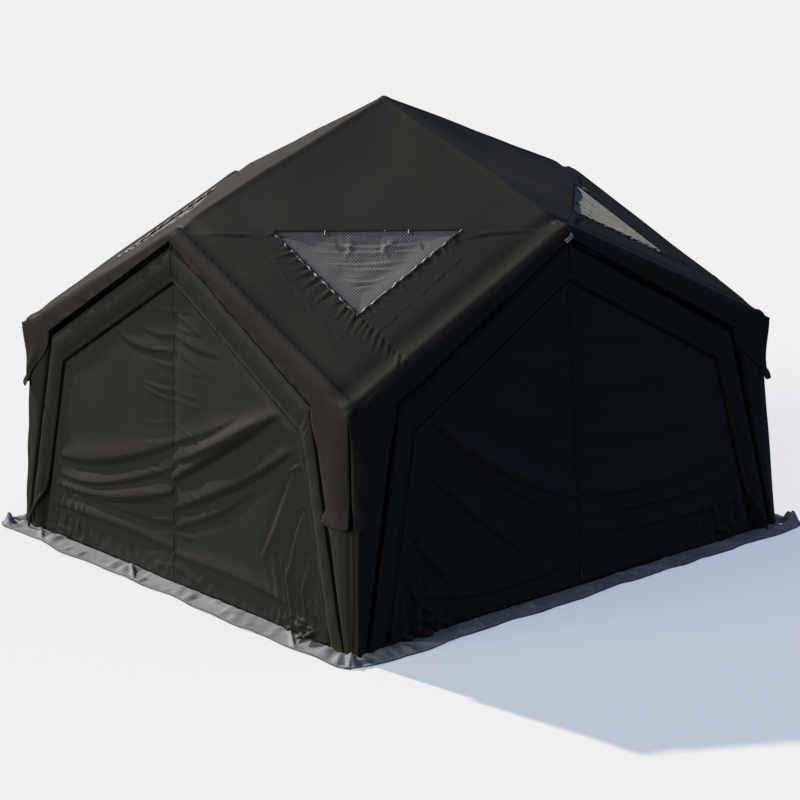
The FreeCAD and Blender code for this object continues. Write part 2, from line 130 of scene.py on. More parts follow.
# a fold along a smooth path of points: a ridge with a valley on its right-hand side
def fold(x, y, path, width, height):
    valley, ends = 0.55, 0.6  # depth of the valley beside a ridge one high, and how bluntly the fold dies out
    knots = np.array(path, float)
    steps = np.linspace(0, 1, 25)
    if len(knots) == 3:
        a, c = knots[0], knots[2]
        b = 2 * knots[1] - (a + c) / 2  # the curve passes through the middle point
        line = np.outer((1 - steps) ** 2, a) + np.outer(2 * steps * (1 - steps), b) + np.outer(steps ** 2, c)
    else:
        line = np.outer(1 - steps, knots[0]) + np.outer(steps, knots[-1])
    best = np.full(np.shape(x), 9.0)
    side = np.zeros(np.shape(x))
    along = np.zeros(np.shape(x))
    for i in range(len(line) - 1):
        p, d = line[i], line[i + 1] - line[i]
        t = np.clip(((x - p[0]) * d[0] + (y - p[1]) * d[1]) / (d @ d), 0, 1)
        gx, gy = x - p[0] - t * d[0], y - p[1] - t * d[1]
        distance = np.hypot(gx, gy)
        nearer = distance < best
        best = np.where(nearer, distance, best)
        side = np.where(nearer, np.sign(d[0] * gy - d[1] * gx), side)
        along = np.where(nearer, (i + t) / (len(line) - 1), along)
    pinch = np.sin(np.pi * np.clip(along, 0.001, 0.999))
    signed = best * side / (width * (0.35 + 0.65 * pinch))
    drop = np.where(signed > -1, (1 + valley) * (1 - smoothStep(-signed, 0, 1)) - valley,
                    -valley * np.exp(-((signed + 1) / 1.4) ** 2))
    rise = np.exp(-(signed / 1.8) ** 2)
    taper = pinch ** ends * np.exp(-(np.maximum(best - 3.5 * width, 0) / width) ** 2)
    return height * taper * np.where(signed > 0, rise, drop)


# meshes

def makeMesh(name, points, faces, uv=None):
    mesh = bpy.data.meshes.new(name)
    mesh.from_pydata([tuple(p) for p in points], [], [tuple(f) for f in faces])
    if uv is not None:
        layer = mesh.uv_layers.new(name="cloth")
        index = np.zeros(len(mesh.loops), np.int32)
        mesh.loops.foreach_get("vertex_index", index)
        layer.data.foreach_set("uv", np.asarray(uv, np.float32)[index].ravel())
    mesh.shade_smooth()
    obj = bpy.data.objects.new(name, mesh)
    bpy.context.scene.collection.objects.link(obj)
    return obj


def gridFaces(rows, columns, start=0, flip=False):
    i, j = lattice(np.arange(rows - 1), np.arange(columns - 1))
    a = start + i * columns + j
    quads = np.stack([a, a + 1, a + columns + 1, a + columns], -1).reshape(-1, 4)
    return quads[:, ::-1] if flip else quads


def joinGrids(name, grids):  # one mesh of several (points, uv, flip) grids; each grid is rows x columns x 3
    points, uvs, faces, start = [], [], [], 0
    for grid, uv, flip in grids:
        rows, columns = grid.shape[:2]
        faces += gridFaces(rows, columns, start, flip).tolist()
        points.append(grid.reshape(-1, 3))
        uvs.append(np.asarray(uv).reshape(-1, 2))
        start += rows * columns
    return makeMesh(name, np.concatenate(points), faces, np.concatenate(uvs))


def thicken(obj, thickness, offset=-1.0):
    cloth = obj.modifiers.new("thickness", "SOLIDIFY")
    cloth.thickness, cloth.offset = thickness, offset
    return obj


def dress(obj, material, body, slotName, *nodes):
    if not obj.data.materials:
        obj.data.materials.append(material)
    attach(obj, body)
    if nodes:
        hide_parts(*nodes)
    return obj


# materials

def toLinear(hexColour):
    value = [int(hexColour[i:i + 2], 16) / 255 for i in (1, 3, 5)]
    return [v / 12.92 if v <= 0.04045 else ((v + 0.055) / 1.055) ** 2.4 for v in value] + [1.0]


def setInputs(tree, node, inputs):  # an input gets a value, or a link where a socket is given
    for key, value in inputs.items():
        if isinstance(value, bpy.types.NodeSocket):
            tree.links.new(value, node.inputs[key])
        else:
            node.inputs[key].default_value = value


def addNode(tree, kind, inputs, output=0, **settings):  # adds a node and hands back one of its outputs
    node = tree.nodes.new("ShaderNode" + kind)
    for key, value in settings.items():
        setattr(node, key, value)
    setInputs(tree, node, inputs)
    return node.outputs[output]


def newMaterial(name):
    material = bpy.data.materials.new(name)
    material.use_nodes = True
    return material, material.node_tree, material.node_tree.nodes["Principled BSDF"]


def waveScale(period):  # the wave texture's scale for a band spacing in metres
    return 2 * math.pi / (20 * period)


# plain-weave polyester, coated on its inner side: dull, with a faint sheen from its threads
def wovenFabric(name, look):
    material, tree, shader = newMaterial(name)
    cloth = addNode(tree, "UVMap", {}, "UV", uv_map="cloth")
    turned = addNode(tree, "Mapping", {"Vector": cloth, "Rotation": (0, 0, look.get("turn", 0.0))})
    # real threads are 0.4 mm apart; drawn coarser so that they show from across a garden
    bands = {"Vector": turned, "Scale": waveScale(look["thread"])}
    warp = addNode(tree, "TexWave", bands, "Fac", bands_direction="X")
    weft = addNode(tree, "TexWave", bands, "Fac", bands_direction="Y")
    crossing = addNode(tree, "Math", {0: warp, 1: weft}, operation="MULTIPLY")
    place = addNode(tree, "TexCoord", {}, "Object")
    cloudy = {"Vector": place, "Scale": 2.6, "Detail": 5.0, "Roughness": 0.6}
    patches = addNode(tree, "TexNoise", cloudy, "Fac")
    grain = addNode(tree, "TexNoise", {"Vector": place, "Scale": 160.0, "Detail": 3.0}, "Fac")
    fleck = addNode(tree, "TexNoise", {"Vector": place, "Scale": 210.0, "Detail": 2.0}, "Fac")
    tones = {"Factor": patches, "A": toLinear(look["dark"]), "B": toLinear(look["light"])}
    shade = addNode(tree, "Mix", tones, "Result", data_type="RGBA")
    threads = {"Factor": look.get("uneven", 0.55), "A": crossing, "B": fleck}
    weave = addNode(tree, "Mix", threads, "Result", data_type="FLOAT")
    contrast = look.get("contrast", 0.2)
    depth = addNode(tree, "MapRange", {"Value": weave, "To Min": 1 - contrast, "To Max": 1 + contrast})
    low, high = look["rough"] - 0.08, look["rough"] + 0.08
    fine = addNode(tree, "Math", {0: weave, 1: grain}, operation="ADD")
    relief = addNode(tree, "Bump", {"Height": fine, "Strength": look.get("bump", 0.35), "Distance": 0.0015})
    creases = addNode(tree, "TexNoise", {"Vector": place, "Scale": look.get("crumple", 14.0), "Detail": 6.0,
                                         "Roughness": 0.55, "Distortion": 0.6}, "Fac")
    setInputs(tree, shader, {
        "Base Color": addNode(tree, "VectorMath", {0: shade, "Scale": depth}, operation="SCALE"),
        "Roughness": addNode(tree, "MapRange", {"Value": grain, "To Min": low, "To Max": high}),
        "Normal": addNode(tree, "Bump", {"Height": creases, "Normal": relief, "Distance": 0.012,
                                         "Strength": look.get("crumpled", 0.35)}),
        "Sheen Weight": look.get("sheen", 0.15), "Sheen Roughness": 0.4, "Sheen Tint": toLinear("#B8B4A8"),
        "Specular IOR Level": look.get("specular", 0.35),
    })
    return material


roofLook = {
    "dark": "#2F2D2A", "light": "#3C3A36", "thread": 0.013, "rough": 0.70, "contrast": 0.60, "turn": 0.7,
    "bump": 0.40, "sheen": 0.0, "specular": 0.10, "crumple": 9.0, "crumpled": 0.08,
}
wallLook = {
    "dark": "#262521", "light": "#2E2D28", "thread": 0.011, "rough": 0.70, "contrast": 0.35,
    "bump": 0.30, "sheen": 0.08, "specular": 0.25, "crumple": 7.0, "crumpled": 0.12,
}
doorLook = {
    "dark": "#282722", "light": "#302F2A", "thread": 0.010, "rough": 0.66, "contrast": 0.30,
    "bump": 0.22, "sheen": 0.08, "specular": 0.25, "crumple": 6.0, "crumpled": 0.12,
}
skirtLook = {
    "dark": "#70757D", "light": "#B2B7BF", "thread": 0.014, "rough": 0.8, "contrast": 0.45, "turn": 0.78,
    "bump": 0.5, "crumple": 22.0, "crumpled": 0.4,
}
meshLook = {
    "dark": "#505256", "light": "#8E9094", "thread": 0.012, "rough": 0.7, "contrast": 0.95, "uneven": 0.35,
    "turn": 0.78, "bump": 0.5, "sheen": 0.60, "crumple": 9.0, "crumpled": 0.15,
}
filmLook = {
    "dark": "#3A3D3A", "light": "#4A4D48", "thread": 0.02, "rough": 0.35, "contrast": 0.05,
    "bump": 0.05, "sheen": 0.0, "specular": 0.5,
}
# near-black look for the grooves and the hem line: painted shade where the cloth's recesses fall into shadow
grooveShadeLook = {
    "dark": "#070707", "light": "#0F0F0E", "thread": 0.004, "rough": 0.8, "contrast": 0.2,
    "sheen": 0.0, "specular": 0.1,
}
hemLook = {"dark": "#3A3B3E", "light": "#4C4D50", "thread": 0.006, "rough": 0.75}
sleeveLook = {"dark": "#2C2D2E", "light": "#3A3B3C", "thread": 0.008, "rough": 0.65, "contrast": 0.25}
tapeLook = {"dark": "#1C1B1A", "light": "#282725", "thread": 0.004, "rough": 0.6, "contrast": 0.3}
webLook = {"dark": "#B9B7B0", "light": "#D6D4CC", "thread": 0.003, "rough": 0.7, "contrast": 0.2}


def castMetal(name, colour, rough):  # die-cast zinc with tumbled edges: grey, with soft broken highlights
    material, tree, shader = newMaterial(name)
    place = addNode(tree, "TexCoord", {}, "Object")
    wear = addNode(tree, "TexNoise", {"Vector": place, "Scale": 180.0, "Detail": 4.0}, "Fac")
    tones = {"Factor": wear, "A": toLinear(colour), "B": toLinear("#8C8C8A")}
    setInputs(tree, shader, {
        "Base Color": addNode(tree, "Mix", tones, "Result", data_type="RGBA"), "Metallic": 1.0,
        "Roughness": addNode(tree, "MapRange", {"Value": wear, "To Min": rough, "To Max": rough + 0.2}),
        "Normal": addNode(tree, "Bump", {"Height": wear, "Strength": 0.2, "Distance": 0.0005}),
    })
    return material


def mouldedPlastic(name, colour):  # injection-moulded nylon: an even fine grain that dulls its highlight
    material, tree, shader = newMaterial(name)
    place = addNode(tree, "TexCoord", {}, "Object")
    grain = addNode(tree, "TexNoise", {"Vector": place, "Scale": 900.0, "Detail": 3.0}, "Fac")
    cloud = addNode(tree, "TexNoise", {"Vector": place, "Scale": 40.0, "Detail": 3.0}, "Fac")
    tones = {"Factor": cloud, "A": toLinear(colour), "B": toLinear("#3A3A3A")}
    setInputs(tree, shader, {
        "Base Color": addNode(tree, "Mix", tones, "Result", data_type="RGBA"),
        "Roughness": addNode(tree, "MapRange", {"Value": cloud, "To Min": 0.35, "To Max": 0.5}),
        "Normal": addNode(tree, "Bump", {"Height": grain, "Strength": 0.15, "Distance": 0.0003}),
    })
    return material


def zipTeeth(name):  # pressed metal chain on a woven tape: bright narrow teeth across a dark band
    material, tree, shader = newMaterial(name)
    cloth = addNode(tree, "UVMap", {}, "UV", uv_map="cloth")
    # the teeth of a coarse tent zip are 2.5 mm apart; drawn at 9 mm so that they show
    teeth = addNode(tree, "TexWave", {"Vector": cloth, "Scale": waveScale(0.009)}, "Fac", bands_direction="X")
    patchy = addNode(tree, "TexNoise", {"Vector": cloth, "Scale": 11.0, "Detail": 1.0}, "Fac")
    tooth = addNode(tree, "Math", {0: teeth, 1: patchy}, operation="MULTIPLY")
    bright = addNode(tree, "MapRange", {"Value": tooth, "From Min": 0.57, "From Max": 0.67})
    tones = {"Factor": bright, "A": toLinear("#1E1D1C"), "B": toLinear("#BDBDBB")}
    setInputs(tree, shader, {
        "Base Color": addNode(tree, "Mix", tones, "Result", data_type="RGBA"), "Metallic": bright,
        "Roughness": addNode(tree, "MapRange", {"Value": teeth, "To Min": 0.30, "To Max": 0.55}),
        "Normal": addNode(tree, "Bump", {"Height": teeth, "Strength": 0.35, "Distance": 0.002}),
    })
    return material


zipMetal = castMetal("zinc alloy slider, die-cast", "#4A4A49", 0.35)
togglePlastic = mouldedPlastic("nylon toggle, injection-moulded", "#101010")
valvePlastic = mouldedPlastic("nylon valve, injection-moulded", "#1A1B1C")
windowChain = zipTeeth("metal zip chain, pressed teeth on tape")
roofFabric = wovenFabric("pu-coated polyester roof fabric, woven", roofLook)
wallFabric = wovenFabric("pu-coated polyester wall fabric, woven", wallLook)
doorFabric = wovenFabric("light polyester door fabric, woven", doorLook)
skirtFabric = wovenFabric("woven polyethylene skirt, tarpaulin", skirtLook)
bladderFilm = wovenFabric("tpu film, blown and welded", filmLook)
sleeveFabric = wovenFabric("polyester beam sleeve, woven and sewn", sleeveLook)
zipTape = wovenFabric("polyester zip tape, woven", tapeLook)
# painted shade: near-black cloth laid in the grooves beside the corner wraps and along the valance hem
paintedGrooveShade = wovenFabric("black polyester binding tape, woven", grooveShadeLook)
webbing = wovenFabric("white polyester webbing, woven", webLook)
hemTape = wovenFabric("woven hem tape, stitched", hemLook)
meshFabric = wovenFabric("no-see-um netting, knitted", meshLook)


# roof cover, valances and tails: one continuous sheet

wrap = {"rows": 120, "columns": 60, "depth": 0.011, "tuck": 0.046, "lobe": 0.006, "seam": 0.004}
roofCover = {
    "cells": 189,  # along each side of a roof quarter
    "band": 49,  # those of them beside the window
    "topMargin": 2,
    "valanceCells": 16,
    "tailCell": 0.012,
    "tails": [0.375, 0.400, 0.400, 0.650],
    "tailSlims": [(0.88, 0.88), (0.88, 0.88), (0.88, 0.88), (0.06, 0.24)],
    "tailPower": 6.5,
    "tailReach": 0.030,
    "slit": 0.05,
    "tailRound": 0.022,
    "tailFlare": 0.030,
    "roundPasses": 42,  # times the sheet is evened out over the beams
    "sag": 0.022,  # of a top facet between its beams
    "dip": 0.013,  # beside a gable beam
    "crest": 0.011,  # over a gable beam
    "leftGathers": 27,
    "rightGathers": 16,
    "thickness": 0.003,
}


# points of a quarter (apex, gable, next gable, eave) on a grid; u runs to this wall, v to the next
def roofQuarter(k):
    n = roofCover["cells"]
    gable = onWall(0.0, gableUp, 0.0, k)
    nextGable = onWall(0.0, gableUp, 0.0, k + 1)
    eave = onWall(tent["eaveHalf"], eaveUp, 0.0, k)
    apex = np.array([0, 0, tent["apexHeight"]])
    u, v = lattice(np.arange(n + 1) / n, np.arange(n + 1) / n)
    u3, v3 = u[..., None], v[..., None]
    upper = apex + u3 * (gable - apex) + v3 * (nextGable - apex)
    lower = eave + (1 - u3) * (nextGable - eave) + (1 - v3) * (gable - eave)
    return np.where(u3 + v3 <= 1, upper, lower), u, v


def roofFaces():  # quads of a quarter without its window, split along the crease and the window's top
    n, band, top = roofCover["cells"], roofCover["band"], roofCover["topMargin"]
    limit = n - band
    faces = []
    for i in range(n):
        for j in range(n):
            a = i * (n + 1) + j
            b, c, d = a + n + 1, a + n + 2, a + 1
            if i < limit and j < limit and i + j + 1 >= n + top:
                if i + j + 1 == n + top:
                    faces.append((a, b, d))
            elif i + j + 1 == n:
                faces.append((a, b, d))
                faces.append((b, c, d))
            else:
                faces.append((a, b, c, d))
    return faces


def valanceGrid(k, side):  # strip under the roof edge on one half of wall k, from gable to eave
    n, m = roofCover["cells"], roofCover["valanceCells"]
    t, f = lattice(np.arange(n + 1) / n, np.arange(m + 1) / m)
    topX, topS = side * tent["eaveHalf"] * t, gableUp + (eaveUp - gableUp) * t
    lowX, lowS = side * wrapEave[0] * t, hemPeak[1] + (wrapEave[1] - hemPeak[1]) * t
    x, s = topX + (lowX - topX) * f, topS + (lowS - topS) * f
    wavy = ripples(t * 2.0, f * 0.1, 31 + 7 * k + side, 7, 0.12, 0.5)
    out = f ** 2 * (0.004 + 0.004 * wavy) * smoothStep(t, 0, 0.05) * smoothStep(1 - t, 0, 0.08)
    return onWall(x, s, out, k), np.stack([x, s], -1)


def cornerSection(b, width, phi):  # level section round a corner beam, phi from this wall to the next
    edge = tent["baseHalf"] + (tent["eaveHalf"] - tent["baseHalf"]) * b / eaveUp - wrap["depth"]
    power = 2.0 + 5.0 * np.clip((width - 0.09) / 0.25, 0, 1)
    px = edge - width + width * np.sin(phi) ** (2 / power)
    py = edge - width + width * np.cos(phi) ** (2 / power)
    return px, py


def tailGrid(k, side, corner):  # tail below a valance's end, round the corner, flared at its free end
    m = roofCover["valanceCells"]
    length = roofCover["tails"][corner]
    rows = int(length / roofCover["tailCell"])
    r, f = lattice(np.arange(rows + 1) / rows, np.arange(m + 1) / m)
    topX, topS = tent["eaveHalf"] + (wrapEave[0] - tent["eaveHalf"]) * f, eaveUp + (wrapEave[1] - eaveUp) * f
    s = topS + (wrapEave[1] - length - topS) * r
    s = s + roofCover["tailRound"] * (np.abs(2 * f - 1) ** 3) * smoothStep(r, 0.75, 1.0)
    groove = wrapFoot[0] + (wrapEave[0] - wrapFoot[0]) * s / wrapEave[1]
    edge = tent["baseHalf"] + (tent["eaveHalf"] - tent["baseHalf"]) * s / eaveUp
    width = edge - groove
    narrowing = roofCover["tailSlims"][corner][0 if side > 0 else 1]
    slim = 1 - narrowing * r ** 1.1 + 0.20 * narrowing * smoothStep(r, 0.85, 1.0) ** 1.5
    slit = roofCover["slit"] * (smoothStep(r, 0.72, 1.0) + 0.3 * smoothStep(r, 0.02, 0.12))
    power = roofCover["tailPower"]
    # share of the way from the groove to the corner
    level = 0.5 ** (1 / power) * (1 - 0.91 * (f * slim + slit * (1 - f)))
    px = edge - wrap["depth"] - width + width * level
    py = edge - wrap["depth"] - width + width * (1 - level ** power) ** (1 / power)
    flare = smoothStep(r, 0.78, 1.0) ** 2
    lift = 0.012 - 0.006 * f + 0.008 * np.sin(np.pi * f)
    lift = lift + roofCover["tailFlare"] * flare * (0.25 + 0.75 * f ** 3 + 0.3 * narrowing)
    lift = lift + 0.004 * ripples(f * 0.25, r * 0.3, 77 + k + side, 4, 0.12, 0.3) * np.minimum(4 * f, 1)
    px, py = px + lift * (1 - f) - roofCover["tailReach"] * flare * f ** 2 * (1 - narrowing), py + lift
    blend = smoothStep(r * length, 0.0, 0.30)
    x = topX + (px - topX) * blend
    y = -edge - (py - edge) * blend
    grid = np.stack([side * x, y, s * math.cos(lean)], -1)
    return turn(grid, k), np.stack([side * x, s], -1)


def weld(points, faces):  # joins points that lie together and drops points on no face
    key = np.round(points * 20000).astype(np.int64)
    _, first, inverse = np.unique(key, axis=0, return_index=True, return_inverse=True)
    inverse = inverse.ravel()
    used = np.zeros(len(first), bool)
    for f in faces:
        used[inverse[list(f)]] = True
    place = np.cumsum(used) - 1
    return first[used], [tuple(place[inverse[list(f)]]) for f in faces]


def edgeUses(faces):  # how many faces use each edge
    uses = {}
    for f in faces:
        for i in range(len(f)):
            key = (min(f[i - 1], f[i]), max(f[i - 1], f[i]))
            uses[key] = uses.get(key, 0) + 1
    return uses


# evens the points out with their neighbours; share is how far each point may follow
def relax(points, edges, share, passes):
    a = np.concatenate([edges[:, 0], edges[:, 1]])
    b = np.concatenate([edges[:, 1], edges[:, 0]])
    count = np.bincount(a, minlength=len(points)).astype(float)
    for _ in range(passes):
        mean = np.stack([np.bincount(a, points[b, i], len(points)) / count for i in range(3)], -1)
        points = points + share[:, None] * (mean - points)
    return points


def faceNormals(points, faces):
    normal = np.zeros_like(points)
    quads = np.array([(f[0], f[1], f[2], f[-1]) for f in faces])
    p = points[quads]
    n = np.cross(p[:, 2] - p[:, 0], p[:, 3] - p[:, 1])
    for c in range(4):
        for axis in range(3):
            normal[:, axis] += np.bincount(quads[:, c], n[:, axis], len(points))
    return normal / np.maximum(np.linalg.norm(normal, axis=1, keepdims=True), 1e-12)


def gather(away, along, reach, slant, width, height):  # one short pucker that starts at a seam and dies out
    q = (along - slant * away) / width
    t = np.clip(away / reach, 0, 1)
    rise = smoothStep(away, -0.012, 0.004) * (1 - t) ** 1.2
    return height * rise * (np.exp(-q ** 2) - 0.55 * np.exp(-((q - 1.7) / 1.1) ** 2))


# height of the cloth above its flat facets: sag between beams, gathers at the window, wrinkles
def roofRelief(k, u, v, perp):
    band = roofCover["band"] / roofCover["cells"]
    seam = 1 - band
    crease = u + v - 1
    x, y = (u - v) * 1.2, (u + v) * 1.2
    between = np.sin(np.pi * np.clip(u / (u + v + 1e-6), 0, 1)) ** 2
    sag = -roofCover["sag"] * between * smoothStep(u + v, 0.1, 0.6) * smoothStep(-crease, 0.0, 0.5)
    edgeU, edgeV = (1 - u) * perp, (1 - v) * perp
    dip = -roofCover["dip"] * (bump(edgeU, 0.13, 0.06) + bump(edgeV, 0.13, 0.06))
    crest = roofCover["crest"] * (bump(edgeU, 0.035, 0.028) + 0.45 * bump(edgeV, 0.035, 0.028))
    crest = crest + 0.004 * (1.5 * bump(edgeU, 0.060, 0.011) + 0.2 * bump(edgeV, 0.060, 0.011))
    ridge = 0.006 * (bump(u * perp, 0.0, 0.04) + bump(v * perp, 0.0, 0.04)) * smoothStep(-crease, -0.02, 0.1)
    lower = smoothStep(crease, -0.01, 0.02)
    alongLeft, alongRight = v * perp, u * perp
    fromLeft, fromRight = (u - seam) * perp, (v - seam) * perp
    rng = np.random.default_rng(900 + k)
    gathers = 0.0 * u
    # gathers stand square to each zip, on the side bands, and run on below the window along its left seam
    count = roofCover["leftGathers"]
    for i in range(count):
        place = perp * (band + 0.012 + (1.0 - band - 0.03) * (i + rng.uniform(0.2, 0.8)) / count)
        reach = rng.uniform(0.07, 0.17) if i > 3 else rng.uniform(0.03, 0.08)
        slant = -0.65 + 1.45 * i / (count - 1) + rng.uniform(-0.2, 0.2)
        width, height = rng.uniform(0.010, 0.016), rng.uniform(0.003, 0.0070)
        gathers = gathers + gather(fromLeft, alongLeft - place, reach, slant, width, height)
    count = roofCover["rightGathers"]
    for i in range(count):
        place = perp * (band + 0.01 + (seam - band - 0.02) * (i + rng.uniform(0.2, 0.8)) / count)
        reach, slant, height = rng.uniform(0.04, 0.11), rng.uniform(-0.2, 0.5), rng.uniform(0.002, 0.0055)
        gathers = gathers + gather(fromRight, alongRight - place, reach, slant, 0.010, height) * (u < seam)
    # long wrinkles drawn tight from the window's top corners towards the gables, and some beside the gathers
    pull = 0.0
    for a, b in ((u, v), (v, u)):
        for i in range(4):
            start, end = (0.965 - 0.03 * i, 0.045 + 0.012 * i), (0.78 - 0.01 * i, 0.245 + 0.03 * i)
            middle = ((start[0] + end[0]) / 2, (start[1] + end[1]) / 2 + 0.008)
            pull = pull + fold(a, b, [start, middle, end], 0.006, 0.0022 - 0.0004 * i)
        for i in range(6):
            x0, y0 = 0.80 + 0.022 * rng.random() + 0.006 * i, 0.34 + 0.075 * i
            path = [(x0, y0), (x0 + 0.008, y0 + 0.035), (x0 + 0.006, y0 + 0.07)]
            pull = pull + fold(a, b, path, 0.005, rng.uniform(0.001, 0.0025))
    seamLine = -0.004 * bump(u, seam, 0.0032) * (v > seam) - 0.003 * bump(crease, 0.004, 0.004)
    soft = 0.0025 * ripples(x, y, 50 + k, 9, 0.45, 1.1)
    return sag + dip * (1 - 0.5 * lower) + crest + ridge + lower * (gathers + pull + seamLine) + soft


def buildRoof():
    points, uvs, faces, hemShade, share, relief = [], [], [], [], [], []

    def add(grid, uv, quads, follow, height):  # a grid of cloth: how far it may even out, how high it stands
        start = sum(len(p) for p in points)
        faces.extend(tuple(start + q for q in f) for f in quads)
        hemShade.extend([False] * len(quads))
        points.append(grid.reshape(-1, 3))
        uvs.append(uv.reshape(-1, 2))
        share.append(follow.ravel())
        relief.append(height.ravel())

    n, m = roofCover["cells"], roofCover["valanceCells"]
    quarter, _, _ = roofQuarter(0)
    gable, eave, nextGable = quarter[n, 0], quarter[n, n], quarter[0, n]
    along = (eave - gable) / np.linalg.norm(eave - gable)
    perp = np.linalg.norm((nextGable - gable) - along * ((nextGable - gable) @ along))
    for k in range(4):
        grid, u, v = roofQuarter(k)
        nearEdge = np.maximum(smoothStep(u, 0.86, 0.97), smoothStep(v, 0.86, 0.97))
        uv = np.stack([(u - v) * perp * 0.5, (u + v) * perp * 0.5], -1)
        add(grid, uv, roofFaces(), 0.12 + 0.38 * nearEdge, roofRelief(k, u, v, perp))
        for side, wall in ((1, k), (-1, k + 1)):
            strip, uv = valanceGrid(wall, side)
            hem = np.tile(np.arange(m + 1) / m, n + 1)
            follow = 0.5 * (1 - smoothStep(hem, 0.55, 0.9))
            add(strip, uv, gridFaces(n + 1, m + 1, 0, side < 0), follow, 0.0 * hem)
            hemShade[-n * m:] = ([False] * (m - 1) + [True]) * n  # the valance's lowest row takes the near-black groove material: painted shade along the hem
            tail, uv = tailGrid(wall, side, k)
            rows = tail.shape[0]
            down = np.repeat(np.arange(rows) / (rows - 1), m + 1)
            follow = 0.5 * (1 - smoothStep(down, 0.05, 0.4))
            add(tail, uv, gridFaces(rows, m + 1, 0, side < 0), follow, 0.0 * down)
    points, uvs = np.concatenate(points), np.concatenate(uvs)
    share, relief = np.concatenate(share), np.concatenate(relief)
    first, faces = weld(points, faces)
    points, uvs, share, relief = points[first], uvs[first], share[first], relief[first]
    uses = edgeUses(faces)
    # points on a free edge stay where they are
    share[sorted({p for pair, count in uses.items() if count == 1 for p in pair})] = 0.0
    points = relax(points, np.array(sorted(uses)), share, roofCover["roundPasses"])
    points = points + faceNormals(points, faces) * relief[:, None]
    return makeMesh("roof_cover", points, faces, uvs), perp, hemShade


roof, roofPerp, hemShadeFaces = buildRoof()
thicken(roof, roofCover["thickness"])
dress(roof, roofFabric, "shelter", "roof_fabric",
      *["roof_top_panel_" + c for c in cornerNames], *["roof_corner_panel_" + c for c in cornerNames],
      *["eave_valance_" + w for w in wallNames], "corner_tails")
# the hem row gets the near-black material as painted shade under the valance
roof.data.materials.append(paintedGrooveShade)
roof.data.polygons.foreach_set("material_index", np.array(hemShadeFaces, np.int32))
print("roof cover made", len(roof.data.vertices))


# wall borders

flap = {
    "along": 110, "across": 11, "inner": 0.011, "width": 0.038, "rise": 0.015, "thickness": 0.002,
    "curls": {3: (-1, 0.105), 0: (1, 0.075), 1: (-1, 0.05), 2: (1, 0.06)},  # side and reach on each wall
}
# the first columns from the border's outer edge, on the head and on the jambs, are painted shade in the
# groove
border = {
    "along": 90, "across": 22, "bulge": 0.030, "sunk": 0.012, "grooveShadeColumns": 7, "grooveShadeOnJamb": 10,
    "tucks": [-0.50, -0.20, -0.14, -0.07, -0.03, 0.0, 0.025],  # out to behind the hem and the corner
    "rebate": [1.03, 1.08, 1.15],  # in to behind the door leaves
}


def alongLine(points, count):  # points spread evenly along a broken line, so many on each stretch
    pieces = [np.linspace(points[i], points[i + 1], count + 1)[min(i, 1):] for i in range(len(points) - 1)]
    return np.concatenate(pieces)


def borderGrid(k):
    groundUp = 0.010
    footOut = meeting(wrapFoot, wrapEave, (0, groundUp), (1, groundUp))
    footIn = meeting(doorFoot, doorEave, (0, groundUp), (1, groundUp))
    outer = [footOut, wrapEave, hemPeak, (-wrapEave[0], wrapEave[1]), (-footOut[0], footOut[1])]
    inner = [footIn, doorEave, doorPeak, (-doorEave[0], doorEave[1]), (-footIn[0], footIn[1])]
    outer, inner = alongLine(outer, border["along"]), alongLine(inner, border["along"])
    f = np.concatenate([border["tucks"], np.linspace(0.05, 1.0, border["across"]), border["rebate"]])
    f = f[None, :, None]
    # less room to tuck at the corner's foot and under the gable's peak
    up = outer[:, 1]
    room = ((0.40 + 0.60 * smoothStep(up, 0.1, 1.0)) * (1 - 0.68 * smoothStep(up, 1.45, 2.05)))[:, None, None]
    flat = outer[:, None, :] + (inner - outer)[:, None, :] * np.where(f < 0, f * room, f)
    x, s = flat[..., 0], flat[..., 1]
    f = np.broadcast_to(f[..., 0], x.shape)
    profile = np.where(f < 0.42, np.sin(np.clip((f - 0.05) / 0.24, 0, 1) * math.pi / 2) ** 0.8,
                       np.cos(np.clip((f - 0.42) / 0.58, 0, 1) * math.pi / 2) ** 0.75)
    out = -tent["wallDepth"] - border["sunk"] + (border["bulge"] + 0.014) * profile
    out = out - 0.035 * np.clip(-f / 0.16, 0, 1) - 0.012 * bump(f, 0.0, 0.05)
    out = out - 0.008 * smoothStep(f, 1.0, 1.05)
    out = out - 0.008 * (1 - smoothStep(s, 0.0, 0.25)) * profile
    side, reach = flap["curls"][k]
    out = out - 0.35 * reach * (side * x > 0) * smoothStep(f, 0.50, 0.85) * (1 - smoothStep(s, 0.12, 0.55))
    onJamb = 1 - smoothStep(s, 1.0, 1.3)
    loose = np.sin(np.pi * np.clip(f, 0, 1))
    out = out + (0.0010 + 0.0018 * onJamb) * ripples(x, s, 11 + k, 9, 0.14, 0.6) * loose
    out = out + 0.006 * ripples(x, s, 15 + k, 7, 0.06, 0.2) * (1 - smoothStep(s, 0.02, 0.22)) * loose
    for side in (-1, 1):
        for i in range(5):
            low = 1.30 - 0.07 * i
            path = [(side * (wrapEave[0] - 0.01 + 0.005 * i), low + 0.08),
                    (side * (doorEave[0] + 0.09), low - 0.03),
                    (side * (doorEave[0] + 0.02), low - 0.11 - 0.02 * i)]
            out = out + fold(x, s, path, 0.010, 0.0028)
    return onWall(x, s, out, k), np.stack([x, s], -1)


